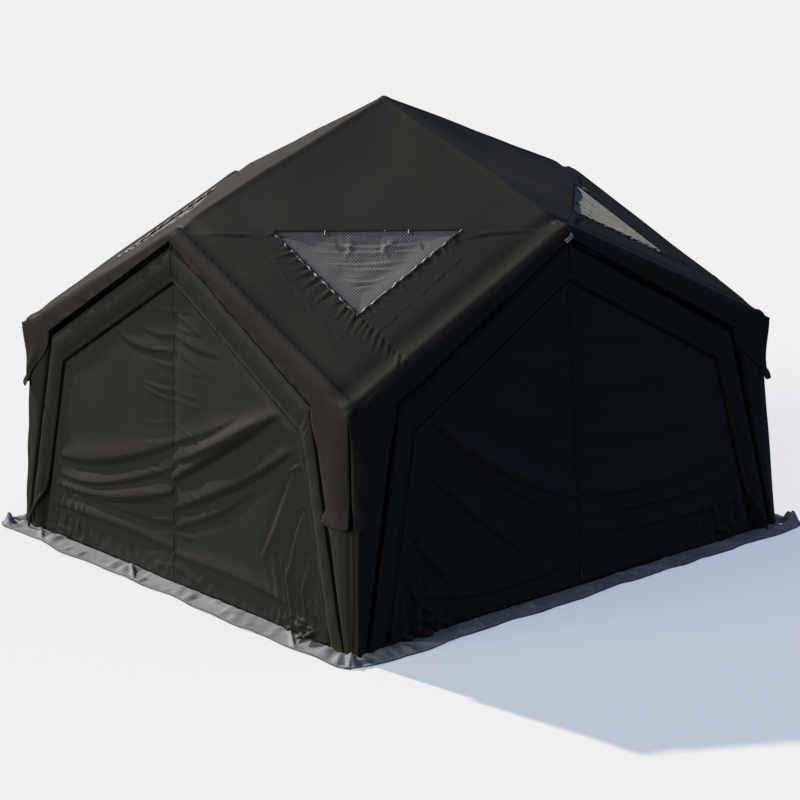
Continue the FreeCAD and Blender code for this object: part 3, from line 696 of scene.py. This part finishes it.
for k, wall in enumerate(wallNames):
    ring = joinGrids("wall_border_cloth_" + wall, [(*borderGrid(k), False)])
    ring.data.materials.append(wallFabric)
    ring.data.materials.append(paintedGrooveShade)
    columns = len(border["tucks"]) + border["across"] + len(border["rebate"]) - 1
    # the outer columns next to the groove get the near-black material: painted shade under the hem and beside
    # the corner wrap
    row, column = np.divmod(np.arange(len(ring.data.polygons)), columns)
    onJamb = (row < border["along"]) | (row >= 3 * border["along"])
    dark = column < np.where(onJamb, border["grooveShadeOnJamb"], border["grooveShadeColumns"])
    ring.data.polygons.foreach_set("material_index", dark.astype(np.int32))
    # 110 mm of it are tucked outwards and 35 mm behind the leaves
    dress(ring, wallFabric, "shelter", "wall_fabric", "wall_border_" + wall)
print("wall borders made")


# corner wraps

def wrapGrid(k):  # cloth round a corner beam, from the groove on one wall to the groove on the next
    b = np.linspace(0.008, wrapEave[1] + 0.03, wrap["rows"])[:, None]
    phi = np.linspace(0, math.pi / 2, wrap["columns"])[None, :]
    edge = tent["baseHalf"] + (tent["eaveHalf"] - tent["baseHalf"]) * b / eaveUp - wrap["depth"]
    groove = wrapFoot[0] + (wrapEave[0] - wrapFoot[0]) * b / wrapEave[1]
    width = edge - groove
    inward = edge - width
    px, py = cornerSection(b, width, phi)
    lobes = wrap["lobe"] * np.sin(2 * phi) * np.cos(6 * phi)
    seam = wrap["seam"] * bump(phi, math.pi / 4, 0.03)
    softness = 0.004 * ripples(phi * 0.3, b * 0.35, 90 + k, 8, 0.08, 0.4)
    push = (lobes + seam + softness) * np.sin(2 * phi) ** 0.5
    length = np.hypot(px - inward, py - inward)
    px = px + push * (px - inward) / length
    py = py + push * (py - inward) / length
    px = np.concatenate([px[:, :1], px, px[:, -1:] - wrap["tuck"]], axis=1)
    py = np.concatenate([py[:, :1] - wrap["tuck"], py, py[:, -1:]], axis=1)
    zed = np.broadcast_to(b * math.cos(lean), px.shape)
    grid = turn(np.stack([px, -py, zed], -1), k)
    along = np.concatenate([phi[:, :1] - 0.3, phi, phi[:, -1:] + 0.3], axis=1)
    return grid, np.stack([np.broadcast_to(along * 0.2, px.shape), np.broadcast_to(b, px.shape)], -1)


wraps = joinGrids("corner_wrap_cloth", [(*wrapGrid(k), True) for k in range(4)])
dress(wraps, wallFabric, "shelter", "wall_fabric", "corner_wraps")
print("corner wraps made")


# doors

door = {
    "columns": 132, "rows": 150, "gap": 0.004, "seamHalf": 0.0008, "thickness": 0.0025,
    "belly": 0.010, "seamCreases": 15, "hemCreases": 9, "tugs": 7, "ruck": 0.028,
}

# folds of the door's cloth: points across and up the wall, width, height; a fold dips on its right-hand side
doorFolds = [
    [
        ([(-0.10, 0.61), (0.58, 1.00), (1.08, 1.28)], 0.050, 0.030),
        ([(-0.10, 0.74), (0.45, 0.97), (0.90, 1.20)], 0.040, 0.016),
        ([(-0.10, 0.86), (0.33, 1.02), (0.66, 1.17)], 0.032, 0.010),
        ([(-0.10, 0.44), (0.66, 0.78), (1.22, 1.10)], 0.045, 0.020),
        ([(-0.10, 0.33), (0.50, 0.58), (0.95, 0.88)], 0.035, 0.010),
        ([(-1.42, 0.58), (-0.80, 0.64), (0.10, 0.93)], 0.050, 0.018),
        ([(-1.44, 0.46), (-0.80, 0.49), (0.10, 0.78)], 0.034, 0.015),
        ([(-1.45, 0.37), (-0.66, 0.42), (0.10, 0.63)], 0.045, 0.026),
        ([(-1.40, 0.22), (-0.70, 0.25), (0.10, 0.22)], 0.040, 0.018),
        ([(-0.90, 0.34), (-0.40, 0.36), (0.10, 0.40)], 0.025, 0.010),
        ([(1.20, 0.98), (1.08, 0.68), (0.90, 0.38)], 0.030, 0.010),
        ([(1.32, 0.80), (1.22, 0.54), (1.14, 0.28)], 0.026, 0.014),
        ([(1.38, 0.64), (1.34, 0.44), (1.27, 0.22)], 0.024, 0.016),
        ([(1.12, 0.42), (1.15, 0.30), (1.18, 0.12)], 0.016, 0.012),
        ([(-0.10, 0.19), (0.63, 0.21), (1.20, 0.16)], 0.035, 0.018),
        ([(-0.10, 1.62), (0.14, 1.53), (0.50, 1.50)], 0.022, 0.007),
        ([(-0.10, 1.74), (0.10, 1.66), (0.30, 1.58)], 0.016, 0.006),
        ([(-0.62, 1.52), (-0.40, 1.44), (0.10, 1.46)], 0.024, 0.008),
        ([(-0.40, 1.62), (-0.22, 1.54), (0.10, 1.58)], 0.018, 0.006),
    ],
    [
        ([(-1.12, 1.24), (-0.58, 0.84), (0.10, 0.52)], 0.045, 0.028),
        ([(-1.00, 1.10), (-0.52, 0.72), (0.10, 0.40)], 0.035, 0.016),
        ([(-1.20, 0.98), (-0.70, 0.52), (-0.30, 0.24)], 0.035, 0.014),
        ([(-0.10, 0.62), (0.60, 0.52), (1.36, 0.60)], 0.040, 0.022),
        ([(-0.10, 0.48), (0.70, 0.40), (1.40, 0.44)], 0.035, 0.020),
        ([(-0.10, 0.34), (0.70, 0.27), (1.42, 0.26)], 0.032, 0.014),
        ([(-0.10, 0.98), (0.40, 0.86), (1.00, 0.84)], 0.035, 0.012),
        ([(-1.36, 0.70), (-1.20, 0.46), (-1.02, 0.24)], 0.026, 0.016),
        ([(-1.42, 0.50), (-1.34, 0.30), (-1.20, 0.12)], 0.024, 0.016),
        ([(-1.30, 0.26), (-0.70, 0.16), (0.10, 0.20)], 0.034, 0.016),
        ([(-0.10, 1.60), (0.30, 1.48), (0.60, 1.46)], 0.024, 0.008),
        ([(-0.10, 1.30), (0.40, 1.18), (0.80, 1.20)], 0.026, 0.008),
        ([(-0.55, 1.52), (-0.30, 1.40), (0.10, 1.38)], 0.026, 0.009),
        ([(-0.70, 1.30), (-0.40, 1.12), (0.10, 1.06)], 0.030, 0.010),
    ],
]


def doorRelief(x, s, k):  # how far the door's cloth stands out of the wall, for both leaves at once
    half = np.interp(s, [doorFoot[1], doorEave[1], doorPeak[1]], [doorFoot[0], doorEave[0], 0.0])
    inside = np.clip(1 - np.abs(x) / np.maximum(half, 1e-3), 0, 1)
    fade = smoothStep(inside, 0.0, 0.12)
    out = door["belly"] * np.sin(np.pi * np.clip(s / doorPeak[1], 0, 1)) * fade * (1 - 0.8 * bump(x, 0, 0.05))
    mirror = 1 if k in (3, 0) else -1
    for path, width, height in doorFolds[0 if k in (3, 1) else 1]:
        own = mirror * x * sum(p[0] for p in path) > 0
        out = out + fold(mirror * x, s, path, width, height) * fade * own
    rng = np.random.default_rng(500 + k)
    for i in range(door["seamCreases"]):  # small creases that run out from the middle seam
        level = 1.72 - 0.115 * i + rng.uniform(-0.03, 0.03)
        for sign in (-1, 1):
            reach, slope = rng.uniform(0.15, 0.50), rng.uniform(-0.35, 0.15)
            path = [(-sign * 0.05, level), (sign * 0.5 * reach, level + (0.5 * slope - 0.05) * reach),
                    (sign * reach, level + slope * reach)]
            width, height = 0.008 + 0.008 * rng.random(), rng.uniform(0.0015, 0.0045)
            out = out + fold(x, s, path, width, height) * fade * (sign * x > 0)
    for sign in (-1, 1):
        for i in range(door["hemCreases"]):  # creases that stand on the hem near the jambs
            foot = sign * (doorFoot[0] - 0.03 - 0.058 * i + rng.uniform(-0.02, 0.02))
            path = [(foot, 0.03), (foot - sign * rng.uniform(-0.01, 0.04), 0.16),
                    (foot - sign * rng.uniform(0.0, 0.10), rng.uniform(0.24, 0.55))]
            out = out + fold(x, s, path, 0.015, rng.uniform(0.008, 0.018) * (1 - 0.06 * i))
        for i in range(door["tugs"]):  # little tugs along the jamb and the head
            at = rng.uniform(0.25, 1.15)
            jamb = sign * (doorFoot[0] + (doorEave[0] - doorFoot[0]) * at / doorEave[1] - 0.01)
            path = [(jamb, at), (jamb - sign * 0.05, at - 0.02), (jamb - sign * 0.13, at - 0.07)]
            out = out + fold(x, s, path, 0.010, 0.004)
    nearJamb = smoothStep(np.abs(x), 0.95, 1.40)
    crumple = 0.010 * ripples(x, s, 700 + k, 14, 0.05, 0.15) * (1 - smoothStep(s, 0.05, 0.26))
    crumple = crumple * (0.2 + 0.8 * nearJamb) * fade
    heavier = mirror * x * (1 if k in (3, 1) else -1) > 0  # the half where more cloth stands on the ground
    rucks = door["ruck"] * np.abs(ripples(x, s, 720 + k, 8, 0.06, 0.14)) * (1 - smoothStep(s, 0.03, 0.14))
    crumple = crumple + rucks * (nearJamb * (1 + 0.9 * heavier)) * fade
    soft = 0.0035 * ripples(x, s, 800 + k, 9, 0.40, 1.0) * fade
    seam = 0.0035 * bump(x, 0.0, 0.012)
    return out * smoothStep(inside, 0, 0.05) + crumple + soft + seam


def leafGrid(k, side):
    a, b = lattice(np.linspace(0, 1, door["columns"]), np.linspace(0, 1, door["rows"]))
    gap, seamHalf = door["gap"], door["seamHalf"]
    corners = [(seamHalf, doorFoot[1]), (doorFoot[0] - gap, doorFoot[1]),
               (doorEave[0] - gap, doorEave[1] - gap * 0.5), (seamHalf, doorPeak[1] - gap)]
    shares = [(1 - a) * (1 - b), a * (1 - b), a * b, (1 - a) * b]
    x = side * sum(share * corner[0] for share, corner in zip(shares, corners))
    s = sum(share * corner[1] for share, corner in zip(shares, corners))
    out = -tent["wallDepth"] + doorRelief(x, s, k)
    return onWall(x, s, out, k), np.stack([x, s], -1)


for k, wall in enumerate(wallNames):
    for side, name in ((-1, "left"), (1, "right")):
        leaf = joinGrids("door_cloth_" + name + "_" + wall, [(*leafGrid(k, side), side > 0)])
        thicken(leaf, door["thickness"])
        dress(leaf, doorFabric, "door_" + name + "_" + wall, "door_fabric", "door_leaf_" + name + "_" + wall)
print("door leaves made")


# storm flaps along the door's outline

def doorOutline(distance, ground):  # points along the door's jambs and head, moved outwards
    jamb, head = movedLine(doorFoot, doorEave, -distance), movedLine(doorEave, doorPeak, -distance)
    half = [meeting(*jamb, (0, ground), (1, ground)), meeting(*jamb, *head), meeting(*head, (0, 0), (0, 1))]
    return alongLine(half + [(-p[0], p[1]) for p in half[1::-1]], flap["along"])


def flapGrid(k):
    outer, inner = doorOutline(flap["inner"] + flap["width"], 0.012), doorOutline(flap["inner"], 0.012)
    f = np.linspace(0, 1, flap["across"])[None, :, None]
    middle = outer + (inner - outer) * 0.45
    narrow = (0.35 + 0.65 * smoothStep(middle[:, 1], 0.02, 0.16))[:, None, None]
    middle = middle[:, None, :]
    flat = middle + (outer[:, None, :] + (inner - outer)[:, None, :] * f - middle) * narrow
    x, s = flat[..., 0], flat[..., 1]
    f = np.broadcast_to(f[..., 0], x.shape)
    side, reach = flap["curls"][k]
    away = reach * (1 - smoothStep(s, 0.06, 0.42)) ** 1.3 * (side * x > 0.3)
    x = x + side * away
    wander = ripples(x, s, 21 + k, 6, 0.15, 0.6)
    section = np.sin(np.pi * np.clip(f * 0.93, 0, 1)) ** 0.8
    out = -tent["wallDepth"] + 0.003 + flap["rise"] * section + 0.002 * wander * f
    out = out + 0.030 * smoothStep(away, 0.0, 0.07) + 0.008 * bump(away, reach, 0.02)
    return onWall(x, s, out, k), np.stack([x, s], -1)


def headSeamGrid(k):  # narrow strip up the border from the door's head to the hem
    up, across = np.linspace(doorPeak[1] + 0.03, hemPeak[1] + 0.01, 40), np.linspace(-0.005, 0.005, 4)
    s, x = lattice(up, across)
    f = (hemPeak[1] - s) / (hemPeak[1] - doorPeak[1])
    section = np.cos(np.clip(np.abs(f - 0.42) / 0.58, 0, 1) * math.pi / 2) ** 0.8
    out = -tent["wallDepth"] - border["sunk"] + (border["bulge"] + 0.014) * section + 0.0035
    return onWall(x, s, out, k), np.stack([x, s], -1)


flapParts = [(*flapGrid(k), False) for k in range(4)] + [(*headSeamGrid(k), True) for k in range(4)]
flaps = joinGrids("storm_flap_cloth", flapParts)
thicken(flaps, flap["thickness"])
dress(flaps, wallFabric, "shelter", "wall_fabric", "storm_flaps")
print("storm flaps made")


# roof windows

window = {
    "cells": 70, "grow": 0.012, "sink": 0.006, "sag": 0.012, "waves": 6,
    "slack": [0.15, 0.8, 0.8, 1.0],  # of each window, by corner
}


def lowerPoint(k, u, v):  # a point on the lower facets, and the way out of them
    gable, nextGable = onWall(0.0, gableUp, 0.0, k), onWall(0.0, gableUp, 0.0, k + 1)
    eave = onWall(tent["eaveHalf"], eaveUp, 0.0, k)
    normal = np.cross(eave - gable, nextGable - gable)
    normal = normal / np.linalg.norm(normal) * np.sign(normal[2])
    return eave + (1 - u[..., None]) * (nextGable - eave) + (1 - v[..., None]) * (gable - eave), normal


def windowGrid(k):  # netting of a roof window as a triangle fan of rows from its tip to its top edge
    n = roofCover["cells"]
    seam, top = 1 - roofCover["band"] / n, 1 + roofCover["topMargin"] / n
    near, far = seam + window["grow"], top - seam - 2 * window["grow"]
    rows = window["cells"]
    r, c = lattice(np.linspace(0.002, 1, rows), np.linspace(0, 1, rows))
    u, v = near + r * (far - near) * c, near + r * (far - near) * (1 - c)
    point, normal = lowerPoint(k, u, v)
    x, y = u - v, u + v
    edge = smoothStep(np.minimum(np.minimum(seam - u, seam - v), u + v - top), -0.01, 0.08)
    wave = -window["sag"] * edge
    for i in range(window["waves"]):
        level = top + 0.05 + 0.05 * i
        path = [(-0.32 + 0.05 * i, level), (0.0, level + 0.03 - 0.02 * (i % 2)),
                (0.30 - 0.05 * i, level - 0.01 + 0.015 * (i % 3))]
        wave = wave + fold(x, y, path, 0.010, 0.0045) * edge
    for sign in (-1, 1):  # drawn lines under each toggle
        for i in range(3):
            path = [(sign * 0.12, top + 0.004), (sign * (0.12 - 0.02 * i), top + 0.06),
                    (sign * (0.02 + 0.05 * i), top + 0.13 + 0.02 * i)]
            wave = wave + fold(x, y, path, 0.008, 0.006) * edge
    wave = wave + 0.0022 * ripples(x, y, 40 + k, 8, 0.10, 0.30) * edge
    return point + normal * (wave * window["slack"][k] - window["sink"])[..., None], np.stack([x, y], -1)


for k, corner in enumerate(cornerNames):
    netting = joinGrids("window_netting_" + corner, [(*windowGrid(k), True)])
    dress(netting, meshFabric, "shelter", "window_mesh", "window_mesh_" + corner)
print("windows made")


# ground skirt

skirt = {
    "along": 560, "across": 24, "width": 0.172, "inner": 0.034, "thickness": 0.001, "lowest": 0.0015,
    "tucks": [[-1.35, 0.55, 1.2], [0.8, -0.6], [0.3, -1.1], [-1.45, -0.35, 1.30]],  # on each wall
}


def skirtGrid(k):
    half = tent["baseHalf"] - skirt["inner"]
    t, f = lattice(np.linspace(-1, 1, skirt["along"]), np.linspace(0, 1, skirt["across"]))
    uneven = ripples(t * 1.9, 0.0, 200 + k, 9, 0.22, 1.4)
    reach = skirt["width"] * f * (0.92 + 0.10 * uneven * (1 - smoothStep(np.abs(t), 0.8, 1.0)))
    x = t * (half + reach)
    y = half + reach
    # the square at each corner is pulled round
    beyond = np.clip(np.abs(x) - half, 0, None)
    length = np.maximum(np.hypot(beyond, reach), 1e-9)
    shrink = np.maximum(beyond, reach) / length
    corner = smoothStep(np.abs(t), 0.90, 0.99)
    mix = 1 + (shrink - 1) * 0.85
    x = np.where(beyond > 0, np.sign(x) * (half + beyond * mix), x)
    y = np.where(beyond > 0, half + reach * mix, y)
    ruck = ripples(x, f * 0.12, 210 + k, 14, 0.07, 0.5)
    roll = ripples(x, 0.0, 230 + k, 9, 0.10, 0.7)
    z = 0.003 + 0.010 * (1 - f) ** 2
    z = z + 0.014 * np.clip(ruck, -0.2, 2.0) * np.sin(np.pi * np.clip(f * 0.9 + 0.08, 0, 1))
    z = z + 0.006 * np.clip(roll, 0, 1.5) * f ** 3 + 0.004 * bump(f, 0.93, 0.05)
    crumple = ripples(x, y, 240 + k, 12, 0.07, 0.16)
    z = z + corner * np.sin(np.pi * np.clip(f, 0.04, 1)) * (0.030 + 0.046 * crumple)
    for place in skirt["tucks"][k]:  # where the strip was pushed together and stands in a small fold
        z = z + 0.020 * bump(x - 0.25 * (f - 0.5), place, 0.022) * np.sin(np.pi * np.clip(f, 0.05, 0.97))
    z = np.maximum(z, skirt["lowest"])
    return turn(np.stack([x, -y, z], -1), k), np.stack([x, y], -1)


skirts = joinGrids("ground_skirt_cloth", [(*skirtGrid(k), False) for k in range(4)])
thicken(skirts, skirt["thickness"], 1.0)
dress(skirts, skirtFabric, "shelter", "skirt_fabric", "ground_skirt")
skirts.data.materials.append(hemTape)
column = np.arange(len(skirts.data.polygons)) % (skirt["across"] - 1)
skirts.data.polygons.foreach_set("material_index", (column == skirt["across"] - 2).astype(np.int32))
print("skirt made")


# zips

zips = {
    "doorFoot": 0.030, "doorHead": 1.821, "windowWidth": 0.022,
    # the door zip's section, across and out
    "line": [-0.026, -0.016, -0.0138, -0.012, -0.00925, -0.0065, -0.0047, -0.002, 0.012],
    "height": [-0.0045, -0.0035, -0.001, 0.0022, 0.0034, 0.0022, -0.001, -0.005, -0.007],
}


def doorZipGrid(k):  # chain sewn on the left leaf's free edge, on a tape that runs behind both leaves
    s, x = lattice(np.linspace(zips["doorFoot"], zips["doorHead"], 240), zips["line"])
    out = -tent["wallDepth"] + doorRelief(np.minimum(x, -0.001), s, k) + np.array(zips["height"])
    return onWall(x, s, out, k), np.stack([s, x], -1)


for k, wall in enumerate(wallNames):
    chain = joinGrids("door_zip_chain_" + wall, [(*doorZipGrid(k), True)])
    dress(chain, zipTape, "door_left_" + wall, "zip_tape", "door_zip_" + wall)


def windowZipGrid(k, flipped):
    seam = 1 - roofCover["band"] / roofCover["cells"]
    top = 1 + roofCover["topMargin"] / roofCover["cells"]
    t, f = lattice(np.linspace(0.005, 1.0, 150), np.linspace(-1, 1, 6))
    along = seam + (top - seam - seam) * t
    wobble = 0.0012 * np.sin(along * 190 + k) + 0.001 * np.sin(along * 77 + 2 * k)
    across = seam + 0.0015 + f * zips["windowWidth"] / 2 / roofPerp + wobble
    u, v = (along, across) if flipped else (across, along)
    point, normal = lowerPoint(k, u, v)
    lift = 0.002 + 0.004 * (1 - f ** 2) + 0.002 * np.sin(2 * math.pi * along * roofPerp / 0.083 + k)
    return point + normal * lift[..., None], np.stack([along * roofPerp, f * zips["windowWidth"] / 2], -1)


zipParts = [(*windowZipGrid(k, flipped), flipped) for k in range(4) for flipped in (False, True)]
windowZips = joinGrids("window_zip_chains", zipParts)
dress(windowZips, windowChain, "shelter", "zip_tape", "window_zips")
print("zips made")


# peak tab

tabThickness = 0.0018


def tabGrid():
    t, f = lattice(np.linspace(0, 1, 16), np.linspace(-1, 1, 7))
    x = 0.004 - 0.055 * t + 0.008 * f
    s = hemPeak[1] + 0.022 - 0.037 * t - 0.011 * f
    out = 0.014 + 0.006 * np.sin(np.pi * t) + 0.001 * f ** 2
    return onWall(x, s, out, 0), np.stack([x, s], -1)


tab = joinGrids("peak_tab_strap", [(*tabGrid(), False)])
thicken(tab, tabThickness)
dress(tab, webbing, "shelter", "webbing", "peak_tab")


# air beams, hubs and groundsheet

beams = {
    "radius": 0.0775, "bladder": 0.0735, "hub": 0.080, "apexHub": 0.084, "hubReach": 0.11,
    "foot": (1.679, -1.679, 0.018), "corner": (1.6016, -1.6016, 1.3838),
    "gable": (0.0, -1.5593, 2.1325), "apex": (0.0, 0.0, 2.7287),
}


def tubeGrid(start, end, radius, seed, wrinkled):  # a blown tube, puckered where it is gathered at its ends
    start, end = np.array(start), np.array(end)
    length = np.linalg.norm(end - start)
    rows = int(length / 0.02)
    way = (end - start) / length
    first = np.cross(way, [0.3, 0.9, 0.1])
    first = first / np.linalg.norm(first)
    second = np.cross(way, first)
    t, a = lattice(np.linspace(0, 1, rows), np.linspace(0, 2 * math.pi, 25))
    nearEnd = np.exp(-np.minimum(t, 1 - t) * length / 0.09)
    around = np.sin(9 * a + seed) * nearEnd * 0.004
    rings = 0.0012 * np.sin(t * length / 0.035 * 6.28 + 2 * np.sin(a + seed)) * (0.4 + nearEnd)
    r = radius - wrinkled * (np.abs(around) + np.abs(rings)) - 0.0015 * (1 - wrinkled)
    point = start + way * (t * length)[..., None]
    point = point + first * (r * np.cos(a))[..., None] + second * (r * np.sin(a))[..., None]
    return point, np.stack([a * radius, t * length], -1), False


def mirrored(point):
    return (-point[0], point[1], point[2])


def beamRuns(k):
    corner, gable, apex, foot = beams["corner"], beams["gable"], beams["apex"], beams["foot"]
    runs = {"corner": [(foot, corner)], "gable": [(gable, corner), (gable, mirrored(corner))],
            "ridge": [(gable, apex)]}
    return {kind: [(turn(np.array(a), k), turn(np.array(b), k)) for a, b in pairs]
            for kind, pairs in runs.items()}


def shortened(pair, first, last):
    a, b = pair
    way = (b - a) / np.linalg.norm(b - a)
    return a + way * first, b - way * last


def tubes(name, runs, radius, wrinkled):
    return joinGrids(name, [tubeGrid(*pair, radius, i, wrinkled) for i, pair in enumerate(runs)])


for kind in ("corner", "gable", "ridge"):
    first = 0.0 if kind == "corner" else beams["hubReach"]
    runs = [shortened(pair, first, beams["hubReach"]) for k in range(4) for pair in beamRuns(k)[kind]]
    sleeve = tubes(kind + "_beam_covers", runs, beams["radius"], 1.0)
    dress(sleeve, sleeveFabric, "shelter", "sleeve_fabric", kind + "_beam_sleeves")
    film = tubes(kind + "_beam_films", runs, beams["bladder"], 0.0)
    dress(film, bladderFilm, "shelter", "bladder_film", kind + "_beam_bladders")


def hubGrid(centre, radius, seed):  # a sewn ball of cloth with gores, where beams meet
    t, a = lattice(np.linspace(0.02, 0.98, 22) * math.pi, np.linspace(0, 2 * math.pi, 33))
    r = radius * (1 - 0.035 * np.abs(np.sin(4 * a)) ** 6 - 0.02 * np.abs(np.sin(3 * t + seed)))
    ball = np.stack([r * np.sin(t) * np.cos(a), r * np.sin(t) * np.sin(a), r * np.cos(t)], -1)
    return np.array(centre) + ball, np.stack([a * radius, t * radius], -1), True


hubs = {"gable_hubs": beams["gable"], "corner_hubs": beams["corner"]}
for node, centre in hubs.items():
    pads = joinGrids(node + "_cloth", [hubGrid(turn(np.array(centre), k), beams["hub"], k) for k in range(4)])
    dress(pads, sleeveFabric, "shelter", "sleeve_fabric", node)
pad = joinGrids("apex_hub_cloth", [hubGrid(beams["apex"], beams["apexHub"], 1)])
dress(pad, sleeveFabric, "shelter", "sleeve_fabric", "apex_hub")


groundsheet = {"half": 1.752, "cells": 120, "creases": (-0.88, 0.0, 0.88)}


def groundGrid():
    line = np.linspace(-groundsheet["half"], groundsheet["half"], groundsheet["cells"])
    x, y = lattice(line, line)
    creases = sum(bump(x, c, 0.012) + bump(y, c, 0.012) for c in groundsheet["creases"])
    z = 0.0032 + 0.002 * creases + 0.0012 * (1 + ripples(x, y, 5, 10, 0.3, 1.2))
    return np.stack([x, y, np.maximum(z, 0.001)], -1), np.stack([x, y], -1)


ground = joinGrids("groundsheet_film", [(*groundGrid(), False)])
dress(ground, bladderFilm, "shelter", "groundsheet_film", "groundsheet")
print("beams, hubs and groundsheet made")


# finishes of the hard pieces, which keep their CAD shape
finishes = {"door_slider": zipMetal, "window_slider": zipMetal, "window_toggles": togglePlastic,
            "valve_body": valvePlastic, "valve_cap": valvePlastic}
for obj in bpy.data.objects:
    for start, finish in finishes.items():
        if obj.type == "MESH" and obj.name.startswith(start):
            obj.data.materials.clear()
            obj.data.materials.append(finish)


# stage, light and camera

light = {
    # each lamp's strength, colour, way and width in degrees
    "sun": 3.4, "sunColour": (1.0, 0.93, 0.84), "sunWay": (0.0616, -0.8269, -0.5590), "sunWidth": 1.5,
    "fill": 1.95, "fillColour": (1.0, 0.95, 0.86), "fillWay": (0.90, -0.22, -0.28), "fillWidth": 40.0,
    "floor": "#CEC4B2", "floorSize": 400.0, "glow": (0.345, 0.405, 0.50),
    "skyDim": (0.062, 0.062, 0.068), "skyBlue": (0.10, 0.17, 0.31), "skyWay": (0.75, -0.25, 0.60),
}


def buildStage():
    bpy.ops.mesh.primitive_plane_add(size=light["floorSize"], location=(0, 0, 0))
    floor = bpy.context.object
    floor.name = "floor"
    material, tree, shader = newMaterial("pale painted floor, matt")
    setInputs(tree, shader, {
        "Base Color": toLinear(light["floor"]), "Roughness": 1.0, "Specular IOR Level": 0.0,
        "Emission Color": [*light["glow"], 1.0], "Emission Strength": 1.0,
    })
    floor.data.materials.append(material)
    floor.visible_diffuse = False
    floor.visible_glossy = False


def addSun(name, strength, colour, way, width):
    lamp = bpy.data.lights.new(name, "SUN")
    lamp.energy, lamp.angle, lamp.color = strength, math.radians(width), colour
    sun = bpy.data.objects.new(name, lamp)
    bpy.context.scene.collection.objects.link(sun)
    sun.matrix_world = lookMatrix(np.zeros(3), np.array(way), 0.0)


def buildLight():
    world = bpy.data.worlds.new("soft room light")
    world.use_nodes = True
    tree = world.node_tree
    way = addNode(tree, "TexCoord", {}, "Generated")
    side = addNode(tree, "VectorMath", {0: way, 1: light["skyWay"]}, "Value", operation="DOT_PRODUCT")
    share = addNode(tree, "MapRange", {"Value": side, "From Max": 0.9}, interpolation_type="SMOOTHSTEP")
    mixed = {"Factor": share, "A": [*light["skyDim"], 1.0], "B": [*light["skyBlue"], 1.0]}
    sky = addNode(tree, "Mix", mixed, "Result", data_type="RGBA")
    setInputs(tree, tree.nodes["Background"], {"Color": sky})
    bpy.context.scene.world = world
    addSun("key light", light["sun"], light["sunColour"], light["sunWay"], light["sunWidth"])
    addSun("fill light", light["fill"], light["fillColour"], light["fillWay"], light["fillWidth"])


def lookMatrix(place, towards, roll):
    d = towards / np.linalg.norm(towards)
    r = np.cross(d, [0, 0, 1])
    r = r / np.linalg.norm(r)
    u = np.cross(r, d)
    right = math.cos(roll) * r + math.sin(roll) * u
    up = -math.sin(roll) * r + math.cos(roll) * u
    rows = [[right[i], up[i], -d[i], place[i]] for i in range(3)] + [[0, 0, 0, 1]]
    return Matrix(rows)


view = {
    "place": (-8.855, -10.794, 4.379), "azimuth": 50.42, "elevation": -14.20, "roll": -1.49,
    "lens": 99.0, "sensor": 36.0, "farthest": 1000.0,
}


def buildCamera():
    data = bpy.data.cameras.new("camera")
    data.lens, data.sensor_width, data.clip_end = view["lens"], view["sensor"], view["farthest"]
    camera = bpy.data.objects.new("camera", data)
    bpy.context.scene.collection.objects.link(camera)
    az, el = math.radians(view["azimuth"]), math.radians(view["elevation"])
    towards = np.array([math.cos(el) * math.cos(az), math.cos(el) * math.sin(az), math.sin(el)])
    camera.matrix_world = lookMatrix(view["place"], towards, math.radians(view["roll"]))
    bpy.context.scene.camera = camera


buildStage()
buildLight()
buildCamera()
bpy.context.scene.view_settings.view_transform = "Standard"
